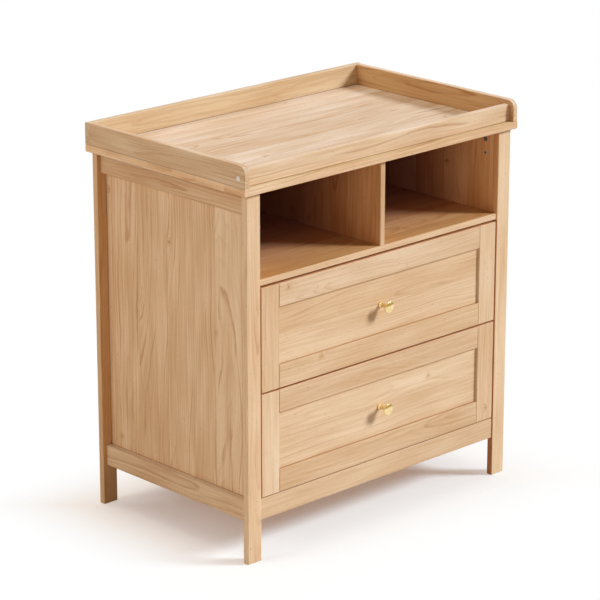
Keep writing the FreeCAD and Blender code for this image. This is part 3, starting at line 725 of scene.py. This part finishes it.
def finish_tray_side(side, sign):
    """A side wall of the tray."""
    wall = f"tray_{side}_wall"
    outer, inner = outer_inner(wall, sign)
    top = high(wall, "z")
    rounded_corner = (
        ("x", low(wall, "x") + RIM_SKIN, high(wall, "x") - RIM_SKIN),
        ("y", low(wall, "y") - RIM_FRONT, low(wall, "y") + RIM_CORNER),
        ("z", top - RIM_CORNER, top - RIM_SKIN),
    )
    board(
        wall, FRONT_TO_BACK, "z", tint=LEFT_WALL_TINT if sign < 0 else None,
        joints=[("z", low(wall, "z"), "x", outer)],
        tones=[
            tone_in(TRAY_WALL_PAINTED_SHADE, near("x", inner), ("z", 0.0, top - WALL_TOP_MARGIN)),
            painted_top_light(wall),
            tone_in(TOP_EDGE_PAINTED_LIGHT, *rounded_corner),
        ],
    )


for side, sign in SIDES:
    for place in ("front", "back"):
        finish_post(place, side, sign)
    finish_side(side, sign)
    finish_tray_side(side, sign)
print("posts, sides and the tray's side walls finished")

# %% [markdown]
# ## Apron, back rails and the tray's long walls
# These lie across the dresser, with the grain from side to side. The tray's long walls
# have a joint line where they stand on the board. Tints bring them to their shades in the
# photograph.

# %% Apron, back rails and the tray's long walls
APRON_TINT = (0.945, 0.955, 0.96)
LONG_WALL_TINTS = {"tray_back_wall": (0.855, 0.88, 0.855), "tray_front_wall": (0.99, 1.02, 1.07)}

board("front_apron", ACROSS_FRONT, "z", wander=0.6, figure=0.7, tint=APRON_TINT)
for rail in ("upper_back_rail", "lower_back_rail"):
    board(rail, ACROSS_FRONT, "z", wander=0.7)
for wall, tint in LONG_WALL_TINTS.items():
    board(
        wall, ACROSS_FRONT, "z", wander=0.7, tint=tint,
        joints=[("z", low(wall, "z"), "y", low(wall, "y"))], tones=[painted_top_light(wall)],
    )
print(len(LONG_WALL_TINTS), "long tray walls finished")

# %% [markdown]
# ## The top board
# It is a glued-up panel, and here its ends carry a strip of long grain instead of end
# grain. It lies flat, where gloss shows most, so its lacquer is duller than the rest.

# %% The top board
BOARD_TINT = (1.10, 1.075, 1.06)
BOARD_GLOSS, BOARD_DULLNESS = 0.08, 0.66
# painted light and shade: inside the tray the board's top is cooled against the warm top lamp, and
# its front edge and its top in front of the tray are darkened
BOARD_TOP_PAINTED_LIGHT = even(0.77, 0.97, 1.33)
BOARD_FRONT_PAINTED_SHADE = even(0.93, 0.94, 0.96)
BOARD_RIM_PAINTED_SHADE = even(0.77, 0.87, 0.87)  # the board's top in front of the tray
board_top = high("top_board", "z")
rim_end = low("tray_front_wall", "y") + 1.0

board(
    "top_board", ACROSS_FRONT, "y", stave=WIDE_STAVE, wander=0.7, lipped=True,
    tint=BOARD_TINT, gloss=BOARD_GLOSS, dullness=BOARD_DULLNESS,
    joints=[
        ("y", low("tray_front_wall", "y"), "z", board_top),
        ("y", high("tray_front_wall", "y"), "z", board_top),
        ("y", low("tray_back_wall", "y"), "z", board_top),
        ("x", high("tray_left_wall", "x"), "z", board_top),
        ("x", low("tray_right_wall", "x"), "z", board_top),
    ],
    tones=[
        tone_in(
            BOARD_TOP_PAINTED_LIGHT, near("z", board_top), ("y", rim_end, high("tray_back_wall", "y")),
            ("x", low("tray_left_wall", "x"), high("tray_right_wall", "x")),
        ),
        # painted shade on the board's underside
        tone_in(SHELF_PAINTED_SHADE, near("z", low("top_board", "z"))),
        tone_in(BOARD_FRONT_PAINTED_SHADE, near("y", low("top_board", "y"))),
        tone_in(LEFT_SIDE_PAINTED_LIGHT, near("x", low("top_board", "x"))),
        tone_in(BOARD_RIM_PAINTED_SHADE, near("z", board_top), ("y", low("top_board", "y"), rim_end)),
    ],
)
print("the top board is at", round(board_top, 1))

# %% [markdown]
# ## The cubbies
# A shelf, an upright divider and the back panel make two open boxes. They are the darkest
# part of the photograph, as little light gets in, so all three take painted shade that
# deepens toward the back.

# %% The cubbies
DIVIDER_TINT = (0.94, 0.91, 0.90)
shelf, divider = "cubby_shelf", "cubby_divider"
shelf_top = high(shelf, "z")
in_cubby = ("y", low(shelf, "y") + 0.5, high(shelf, "y") + 3.0)

board(
    shelf, ACROSS_FRONT, "y", stave=WIDE_STAVE, wander=0.7,
    joints=[
        ("x", end(node, "x"), "z", shelf_top)
        for node in (divider, shelf) for end in (low, high)
    ],
    tones=[tone_in(SHELF_PAINTED_SHADE, in_cubby)],
)
board(
    divider, STANDING, "y", stave=WIDE_STAVE, tint=DIVIDER_TINT,
    tones=[tone_in(CUBBY_WALL_PAINTED_SHADE, in_cubby)],
)
board(
    "back_panel", ACROSS_FRONT, "z", stave=WIDE_STAVE, figure=0.5,
    tones=[tone_in(CUBBY_WALL_PAINTED_SHADE, near("y", low("back_panel", "y")))],
)
print("the cubbies are", round(low("top_board", "z") - shelf_top), "mm high")

# %% [markdown]
# ## Drawer fronts
# Each is a frame of two stiles and two rails round a panel in a groove. The stiles'
# grain stands and the rails' lies, so the joints show even where no line is drawn. The
# outer edges take painted shade for the closed gap, the bottom rail's ledge a painted
# shade, and the strip under the top rail a painted warm light in the rail's shadow.

# %% Drawer fronts
FRAME_TINT = (1.02, 1.06, 1.11)
PANEL_TINTS = {"upper": (1.01, 1.035, 1.065), "lower": (1.07, 1.155, 1.26)}
RAIL_TINTS = {
    "upper_drawer_front_top_rail": (0.955, 0.965, 0.99),
    "lower_drawer_front_top_rail": (1.05, 1.13, 1.26),
    "lower_drawer_front_bottom_rail": (0.96, 0.97, 0.99),
}
# painted shade on the outer edges in the closed gap and on the ledge, and painted warm light in the
# top rail's shadow on the panel
FRONT_GAP_PAINTED_SHADE = even(0.88, 0.60, 0.44)      # on a front's outer edges, in the closed gap
LEDGE_PAINTED_SHADE = even(0.76, 0.68, 0.60)     # on the bottom rail, in front of the panel
RAIL_SHADOW_PAINTED_LIGHT = even(1.22, 1.02, 0.82)     # on the panel, under the top rail
SHADE_HEIGHT = 3.6
BEHIND_FACE = (0.6, 40.0)                # from behind the face to past the frame's back


def front_lines(front):
    """The lines of a drawer front that its finish goes by."""
    stile = f"{front}_left_stile"
    face = low(stile, "y")
    return SimpleNamespace(
        left_edge=high(stile, "x"), right_edge=low(f"{front}_right_stile", "x"),
        face=face, behind=("y", *(face + depth for depth in BEHIND_FACE)),
        bottom=low(stile, "z"), top=high(stile, "z"),
        ledge=high(f"{front}_bottom_rail", "z"), panel_face=low(f"{front}_panel", "y"),
    )


def finish_stile(front, side, sign, lines):
    """An upright side of a drawer front's frame."""
    stile = f"{front}_{side}_stile"
    outer, _ = outer_inner(stile, sign)
    board(
        stile, STANDING, "x", wander=0.5, figure=0.6, joint_colour=GROOVE_TAN, tint=FRAME_TINT,
        tones=[
            tone_in(FRONT_GAP_PAINTED_SHADE, lines.behind, near(axis, place))
            for axis, place in (("x", outer), ("z", lines.bottom), ("z", lines.top))
        ],
    )


def finish_front_rail(front, level, lines):
    """The top or bottom of a drawer front's frame."""
    rail = f"{front}_{level}_rail"
    outer = lines.top if level == "top" else lines.bottom
    board(
        rail, ACROSS_FRONT, "z", wander=0.8, figure=0.65,
        joints=[("x", edge, "y", lines.face) for edge in (lines.left_edge, lines.right_edge)],
        tones=[
            tone_in(FRONT_GAP_PAINTED_SHADE, lines.behind, near("z", outer)),
            tone_in(LEDGE_PAINTED_SHADE, lines.behind, near("z", lines.ledge)),
        ],
        joint_colour=GROOVE_TAN, tint=RAIL_TINTS.get(rail, FRAME_TINT),
    )


def finish_front_panel(drawer, front, lines):
    """The panel set back in a drawer front's frame."""
    under_rail = low(f"{front}_top_rail", "z")
    board(
        f"{front}_panel", ACROSS_FRONT, "z", stave=PANEL_STAVE, wander=0.8, figure=0.65,
        tint=PANEL_TINTS[drawer],
        joints=[
            ("z", lines.ledge, "y", lines.panel_face), ("z", under_rail, "y", lines.panel_face),
            ("x", lines.left_edge, "y", lines.panel_face),
        ],
        tones=[
            tone_in(
                RAIL_SHADOW_PAINTED_LIGHT, near("y", lines.panel_face),
                ("z", under_rail - SHADE_HEIGHT, lines.top),
            ),
        ],
    )


print("drawer fronts can be finished")

# %% [markdown]
# ## Drawers
# Behind each front is a box of thinner, paler wood. The boxes aren't seen in the
# photograph, so their wood is a guess: what such a drawer usually has.

# %% Drawers
BOX_TINT = (0.90, 0.98, 1.10)

for drawer in ("upper", "lower"):
    front, box = f"{drawer}_drawer_front", f"{drawer}_drawer_box"
    lines = front_lines(front)
    for side, sign in SIDES:
        finish_stile(front, side, sign, lines)
        board(f"{box}_{side}_side", FRONT_TO_BACK, "z", figure=0.6, tint=BOX_TINT)
    for level in ("top", "bottom"):
        finish_front_rail(front, level, lines)
    finish_front_panel(drawer, front, lines)
    for end in ("front", "back"):
        board(f"{box}_{end}_wall", ACROSS_FRONT, "z", figure=0.6, tint=BOX_TINT)
    board(f"{box}_bottom", ACROSS_FRONT, "y", figure=0.4, tint=BOX_TINT)
board("wood_dowels", FRONT_TO_BACK, "z", figure=0.4)
print(f"{next(seeds) - 1} boards finished")

# %% [markdown]
# ## Zinc and steel
# Runners are bright zinc-plated sheet, the cams are cast zinc, which is duller, and bolts
# and screws are plain steel. Metal takes its colour from what it mirrors, so the base
# colour is only a tint, and one function serves them all with fine marks of its own size.

# %% Zinc and steel
PATINA_SIZE = 9.0
PATINA_EDGE = (0.3, 0.75)


def patina_on(place):
    """Slow clouds where a metal has dulled a little."""
    return noise(place / PATINA_SIZE, 3.0, 0.6).eased(*PATINA_EDGE)


def metal(name, tint, worn_tint, roughness, mark_size, mark_depth, metallic=1.0):
    """A metal with soft changes of tint and fine marks that spread its highlights."""
    material, tree, surface = new_finish(name, Metallic=metallic)
    place = coordinates(tree)
    patina = patina_on(place)
    marks = noise(place / mark_size, 3.0, 0.65)
    feed(
        tree, surface,
        Base_Color=patina.blend(tint, worn_tint),
        Roughness=marks * 0.12 + patina * 0.06 + roughness,
        Normal=relief(marks, 0.3, mark_depth),
    )
    return material


zinc_plated = metal(
    "zinc_plated_steel", paint_colour(206, 204, 200), paint_colour(184, 184, 182),
    roughness=0.24, mark_size=1.6, mark_depth=0.00003,
)
cast_zinc = metal(
    "cast_zinc", paint_colour(150, 140, 130), paint_colour(122, 112, 102),
    roughness=0.45, mark_size=0.8, mark_depth=0.00004, metallic=0.8,
)
turned_zinc = metal(
    "turned_zinc", paint_colour(232, 226, 218), paint_colour(206, 198, 188),
    roughness=0.42, mark_size=0.6, mark_depth=0.00003, metallic=0.45,
)
steel_fastener = metal(
    "steel_fastener", paint_colour(186, 184, 178), paint_colour(160, 156, 148),
    roughness=0.3, mark_size=0.7, mark_depth=0.00003,
)
print("four metals made")

# %% [markdown]
# ## Polished brass
# The knobs are turned brass, polished and lacquered. The face is shaded as a dome, which
# bends more toward the top, so that it mirrors the pale floor low down and the room above.
# The mesh is nearly flat there. As a true shape this dome would fall by 1.2 mm at the rim
# and by 4.5 mm at its top, which belongs in the geometry, so this is a shortcut: a view
# from the side shows a nearly flat face. Faint rings are left by the lathe.

# %% Polished brass
BRASS = paint_colour(250, 227, 174)
DEEPER_BRASS = paint_colour(238, 210, 146)
BRASS_CROWN = 75.0                       # the radius of the dome, in millimetres
BRASS_SHOULDER = 58.0                    # and of its upper part, which bends more
BRASS_SHOULDER_START = 6.0               # how far below the axis that begins
TURNING_MARK = 0.000004
FACE_LAYER = (0.2, 0.6)


def polished_brass(axis, face):
    """Turned brass, for a knob with this axis and this face."""
    material, tree, surface = new_finish("polished_brass", Metallic=1.0)
    place = coordinates(tree)
    x, y, z = place.parts()
    across, up = x - axis.x, z - axis.z
    from_axis = across * across + up * up
    on_face = 1 - (y - face).eased(*FACE_LAYER)
    above = (up + BRASS_SHOULDER_START).math("MAXIMUM", 0.0)
    dome = from_axis / (-2.0 * BRASS_CROWN) - above * above / (2.0 * BRASS_SHOULDER)
    dome = dome * on_face / MILLIMETRES
    patina = patina_on(place)
    marks = noise(point(from_axis.math("SQRT") * 4.0, up / 9.0, across / 9.0), 2.0, 0.6)
    feed(
        tree, surface,
        Base_Color=patina.blend(BRASS, DEEPER_BRASS),
        Roughness=marks * 0.08 + patina * 0.05 + 0.10,
        Normal=relief(dome + marks * TURNING_MARK, 1.0, 1.0),
    )
    return material


for drawer in ("upper", "lower"):
    knob = f"{drawer}_drawer_knob"
    knob_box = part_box(knob)
    dress(knob, polished_brass((knob_box[0] + knob_box[1]) / 2 * MILLIMETRES, low(knob, "y")))
print("two brass knobs, with faces at y", round(low(knob, "y"), 1))

# %% [markdown]
# ## Screw caps, and the rest of the metalwork
# The caps over the tray's screws are moulded plastic, whose skin is never quite flat:
# shallow bumps under a millimetre across soften its highlight. The other fittings take
# the metals made above.

# %% Caps and metalwork
def white_plastic():
    """Moulded plastic with a very slight orange-peel skin."""
    material, tree, surface = new_finish("white_plastic", IOR=1.46)
    place = coordinates(tree)
    peel = noise(place / 0.8, 2.0)
    tint = noise(place / 5.0, 2.0)
    feed(
        tree, surface,
        Base_Color=tint.blend(paint_colour(242, 241, 240), paint_colour(228, 227, 228)),
        Roughness=peel * 0.1 + 0.32,
        Normal=relief(peel, 0.2, 0.00002),
    )
    return material


for drawer in ("upper", "lower"):
    dress(f"{drawer}_drawer_knob_screw", steel_fastener)
    for part in ("drawer_members", "middle_members", "outer_cages", "inner_cages"):
        dress(f"{drawer}_runner_{part}", zinc_plated)
dress("runner_cabinet_members", zinc_plated)
for fitting in ("cam_locks", "panel_inserts"):
    dress(fitting, cast_zinc)
for fastener in ("cam_bolts", "tray_screws"):
    dress(fastener, steel_fastener)
dress("tray_screw_caps", white_plastic())
print("metals and plastic on")

# %% [markdown]
# ## Shapes for the small castings
# A cam lock is a die-cast zinc drum that a screwdriver turns to pull two boards together.
# Its face has a raised rim, a cross and a small arrow that points at the bolt. An insert
# is pressed into a drilled hole and keeps a thin flange on the board's face. Round parts
# are turned from a profile and flat ones raised from an outline, both point by point.

# %% Lathe and prism
RADIAL_STEPS = 40
SOFT_EDGE = 0.00012


def lathe(mesh, to_place, profile):
    """Turn a profile of (radius, height) points round the axis."""
    rings = []
    for radius, height in profile:
        angles = (2 * math.pi * step / RADIAL_STEPS for step in range(RADIAL_STEPS))
        rings.append([
            mesh.verts.new(to_place((radius * math.cos(turn), radius * math.sin(turn), height)))
            for turn in angles
        ])
    for first, second in zip(rings, rings[1:]):
        for step in range(RADIAL_STEPS):
            after = (step + 1) % RADIAL_STEPS
            mesh.faces.new((first[step], first[after], second[after], second[step]))


def prism(mesh, to_place, outline, height):
    """Raise a flat outline of (u, v) points to a height. Its base stays open."""
    base = [mesh.verts.new(to_place((u, v, 0.0))) for u, v in outline]
    lid = [mesh.verts.new(to_place((u, v, height))) for u, v in outline]
    mesh.faces.new(lid)
    for index in range(len(outline)):
        after = (index + 1) % len(outline)
        mesh.faces.new((base[index], base[after], lid[after], lid[index]))


def face_frame(centre, outward, upward):
    """From a face's own (u, v, height) in millimetres to metres in the frame."""
    side = outward.cross(upward)

    def to_place(local):
        u, v, height = local
        return (centre + side * u + upward * v + outward * height) / MILLIMETRES

    return to_place


def finish_piece(name, mesh, material):
    """Turn mesh code into an object that rides on the carcass."""
    bmesh.ops.recalc_face_normals(mesh, faces=mesh.faces)
    data = bpy.data.meshes.new(name)
    mesh.to_mesh(data)
    mesh.free()
    data.materials.append(material)
    piece = bpy.data.objects.new(name, data)
    bpy.context.scene.collection.objects.link(piece)
    edge = piece.modifiers.new("soft_edges", "BEVEL")
    edge.width, edge.segments = SOFT_EDGE, 2
    edge.limit_method = "ANGLE"
    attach(piece, "root")
    print(name, len(data.polygons), "faces")


print("a turned part has", RADIAL_STEPS, "steps round")

# %% [markdown]
# ## Cam faces and insert flanges
# Four cams at the top of the side panels face the cubbies, with an insert under each.
# Their heights are read from the cams and inserts in the frame.

# %% Cam faces and insert flanges
CAM_RIM, CAM_RIM_WIDTH, CAM_RIM_PROUD = 7.5, 1.5, 0.7
CROSS_ARM, CROSS_HALF_WIDTH, CROSS_PROUD = 4.3, 1.25, 0.45
CROSS_WALL_START = 0.35                  # of the cross's half width
QUARTERS = ((1, 0), (-1, 0), (0, 1), (0, -1))
ARROW = [(-0.9, 4.9), (0.9, 4.9), (0.0, 6.2)]
FLANGE_OUTER, FLANGE_INNER, FLANGE_PROUD = 4.6, 2.35, 0.45
CAM_INSET = 26.0                         # from the side panels' edges
UP = Vector((0, 0, 1))


def cam_face(mesh, centre, outward):
    """The rim, the cross's raised walls and the arrow of one cam lock."""
    to_place = face_frame(centre, outward, UP)
    inner_rim = CAM_RIM - CAM_RIM_WIDTH
    lathe(mesh, to_place, [
        (CAM_RIM, 0.0), (CAM_RIM, CAM_RIM_PROUD), (inner_rim, CAM_RIM_PROUD), (inner_rim, 0.0),
    ])
    arm, half = CROSS_ARM, CROSS_HALF_WIDTH
    start = half * CROSS_WALL_START
    wall = [(half, start), (arm, start), (arm, half), (half, half)]
    for along, cross in QUARTERS:
        for turn in (1, -1):
            outline = [
                (along * a - cross * b * turn, cross * a + along * b * turn) for a, b in wall
            ]
            prism(mesh, to_place, outline, CROSS_PROUD)
    prism(mesh, to_place, ARROW, CROSS_PROUD)


def insert_flange(mesh, centre, outward):
    """The thin flange of one insert, round its open bore."""
    lathe(mesh, face_frame(centre, outward, UP), [
        (FLANGE_OUTER, 0.0), (FLANGE_OUTER - 0.15, FLANGE_PROUD * 0.8),
        (FLANGE_OUTER - 0.5, FLANGE_PROUD), (FLANGE_INNER + 0.3, FLANGE_PROUD),
        (FLANGE_INNER, FLANGE_PROUD * 0.5), (FLANGE_INNER, 0.0),
    ])


cam_level = high("cam_locks", "z") - CAM_RIM
insert_level = (low("panel_inserts", "z") + high("panel_inserts", "z")) / 2
cam_mesh, flange_mesh = bmesh.new(), bmesh.new()
for side, sign in SIDES:
    _, face = outer_inner(f"{side}_side_panel", sign)
    outward = Vector((-sign, 0, 0))
    first_row = high(f"front_{side}_post", "y") + CAM_INSET
    last_row = low(f"back_{side}_post", "y") - CAM_INSET
    for row in (first_row, last_row):
        cam_face(cam_mesh, Vector((face, row, cam_level)), outward)
        insert_flange(flange_mesh, Vector((face, row, insert_level)), outward)
finish_piece("cam_faces", cam_mesh, turned_zinc)
finish_piece("insert_flanges", flange_mesh, turned_zinc)
print("cams at", round(cam_level, 1), "inserts at", round(insert_level, 1))

# %% [markdown]
# ## Floor
# A studio sweep is a white sheet that shows only the shadow. Far out this one is plain
# white to the camera, by its own colour and not by more light. Near the dresser it takes
# the lamps, and a little warm glow painted into its own shader, seen by the camera and in
# reflections, keeps its darkest part from going black. The key lamp is on the right, so
# the part that keeps a shadow reaches further left.

# %% Floor
FLOOR_SIZE = 30.0
FLOOR_TONE = (0.745, 0.90, 1.0, 1.0)
FLOOR_BOUNCE = (0.6, 0.6, 0.6, 1.0)      # what it throws back on the dresser
SHADOW_FADE = (-160.0, 216.0)            # where its shadow fades, from the dresser's outline
SHADOW_SHIFT = 20.0
# a painted glow that lightens the floor's shadow
SHADOW_LIFT = (0.285, 0.182, 0.145, 1.0)


def floor_finish():
    """A pale floor near the dresser, and plain white to the camera far from it."""
    material = bpy.data.materials.new("studio_floor")
    material.use_nodes = True
    tree = material.node_tree
    tree.nodes.clear()
    x, y, _ = coordinates(tree).parts()
    reach = cad_box[1] * MILLIMETRES
    sideways = (x + SHADOW_SHIFT).math("ABSOLUTE") - reach.x
    beyond = sideways.math("MAXIMUM", y.math("ABSOLUTE") - reach.y)
    camera = Signal.node(tree, "ShaderNodeLightPath", output="Is Camera Ray")
    seen = camera.math("MAXIMUM", camera.output("Is Glossy Ray"))
    seen = seen.math("MAXIMUM", camera.output("Is Transmission Ray"))
    tone = camera.blend(FLOOR_BOUNCE, FLOOR_TONE)
    lit = Signal.node(tree, "ShaderNodeBsdfDiffuse", {}, {"Color": tone})
    lift = Signal.node(tree, "ShaderNodeEmission", {}, {"Color": SHADOW_LIFT, "Strength": seen})
    shaded = Signal.node(tree, "ShaderNodeAddShader", {}, {0: lit, 1: lift})
    white = Signal.node(tree, "ShaderNodeEmission", {}, {"Strength": 1.0})
    far = beyond.eased(*SHADOW_FADE) * seen
    look = Signal.node(tree, "ShaderNodeMixShader", {}, {0: far, 1: shaded, 2: white})
    result = tree.nodes.new("ShaderNodeOutputMaterial")
    tree.links.new(look.socket, result.inputs["Surface"])
    return material


def studio_floor():
    """One large square at the height of the dresser's feet."""
    half = FLOOR_SIZE / 2
    corners = [(-half, -half, 0), (half, -half, 0), (half, half, 0), (-half, half, 0)]
    plane = bpy.data.meshes.new("studio_floor")
    plane.from_pydata(corners, [], [(0, 1, 2, 3)])
    floor = bpy.data.objects.new("studio_floor", plane)
    bpy.context.scene.collection.objects.link(floor)
    plane.materials.append(floor_finish())


studio_floor()
print("floor of", FLOOR_SIZE, "m")

# %% [markdown]
# ## World
# The camera sees white behind the dresser. Wood gets a dim, warm light from all round, and
# polished metal mirrors a room: brown low down and a bright ceiling above. One sky could
# serve for all three, but then the brass would be flat or the background grey.

# %% World
WHITE = (1.0, 1.0, 1.0, 1.0)
AMBIENT = (0.20, 0.148, 0.10, 1.0)
ROOM = (0.45, 0.34, 0.15, 1.0)
CEILING = (0.95, 1.0, 1.05, 1.0)
CEILING_START = (0.21, 0.31)             # how steeply up the room turns into ceiling


def studio_world():
    """Soft light from all round, and plain white to the camera."""
    world = bpy.data.worlds.new("studio")
    bpy.context.scene.world = world
    world.use_nodes = True
    tree = world.node_tree
    tree.nodes.clear()
    path = Signal.node(tree, "ShaderNodeLightPath", output="Is Camera Ray")
    seen = path.math("MAXIMUM", path.output("Is Transmission Ray"))
    height = Signal.node(tree, "ShaderNodeTexCoord", output="Generated").parts()[2]
    mirrored = height.eased(*CEILING_START).blend(ROOM, CEILING)
    light = path.output("Is Glossy Ray").blend(AMBIENT, mirrored)
    sky = Signal.node(
        tree, "ShaderNodeBackground", {}, {"Color": seen.blend(light, WHITE), "Strength": 1.0}
    )
    result = tree.nodes.new("ShaderNodeOutputWorld")
    tree.links.new(sky.socket, result.inputs["Surface"])


studio_world()
print("world set")

# %% [markdown]
# ## Lamps
# One large key lamp from the front right draws the shadows, and its width softens them.
# Three weak, warm discs fill the rest: from the left, from above and behind, and from the
# front left. A single strong fill would be simpler, but would throw a second shadow.

# %% Lamps
KEY_BEARING = math.atan2(-0.690, 0.724)


def lamp(name, kind, bearing, elevation, distance, power, **settings):
    """A lamp that shines on the middle of the dresser."""
    flat = math.cos(elevation)
    direction = Vector(
        (flat * math.cos(bearing), flat * math.sin(bearing), math.sin(elevation))
    )
    data = bpy.data.lights.new(name, kind)
    data.energy = power
    for setting, value in settings.items():
        setattr(data, setting, value)
    holder = bpy.data.objects.new(name, data)
    bpy.context.scene.collection.objects.link(holder)
    holder.location = (cad_box[0] + cad_box[1]) / 2 + direction * distance
    holder.rotation_euler = direction.to_track_quat("Z", "Y").to_euler()
    print(name, kind.lower(), power)


lamp(
    "key", "SUN", bearing=KEY_BEARING, elevation=math.radians(31.5), distance=5.0,
    power=2.95, angle=math.radians(16.0),
)
lamp(
    "left_fill", "AREA", bearing=math.radians(165), elevation=math.radians(25), distance=6.0,
    power=81.0, shape="DISK", size=2.4, color=(1.0, 0.955, 0.89),
)
lamp(
    "top_fill", "AREA", bearing=math.radians(100), elevation=math.radians(75), distance=4.0,
    power=66.0, shape="DISK", size=3.0, color=(1.0, 0.73, 0.5),
)
lamp(
    "front_fill", "AREA", bearing=math.atan2(-0.724, -0.69), elevation=math.radians(25),
    distance=6.0, power=14.0, shape="DISK", size=2.4, color=(1.0, 0.9, 0.8),
)

# %% [markdown]
# ## Camera
# The photograph looks down from the front left by 18 degrees, with a long lens: upright
# edges stay nearly parallel. The bearing, height, aim and lens were fitted to the
# dresser's edges and corners, so the render lies over the photograph.

# %% Camera
CAMERA_BEARING = math.radians(-43.592)
CAMERA_ELEVATION = math.radians(17.902)
CAMERA_AIM = Vector((-0.01096, 0.01034, 0.47308))
CAMERA_DISTANCE = 6.66
CAMERA_LENS, SENSOR_WIDTH = 169.85, 36.0


def studio_camera():
    """The camera at the photograph's bearing and height."""
    data = bpy.data.cameras.new("studio_camera")
    data.lens = CAMERA_LENS
    data.sensor_width = SENSOR_WIDTH
    data.sensor_fit = "HORIZONTAL"
    camera = bpy.data.objects.new("studio_camera", data)
    bpy.context.scene.collection.objects.link(camera)
    flat = math.cos(CAMERA_ELEVATION)
    back = Vector((
        math.sin(CAMERA_BEARING) * flat,
        -math.cos(CAMERA_BEARING) * flat,
        math.sin(CAMERA_ELEVATION),
    ))
    camera.location = CAMERA_AIM + back * CAMERA_DISTANCE
    camera.rotation_euler = (math.pi / 2 - CAMERA_ELEVATION, 0.0, CAMERA_BEARING)
    bpy.context.scene.camera = camera


studio_camera()
bpy.context.scene.view_settings.view_transform = "Standard"
print("camera", CAMERA_DISTANCE, "m from its aim")

# %% [markdown]
# ## Sizes
# The dressed part should be no larger than the solids it dresses.
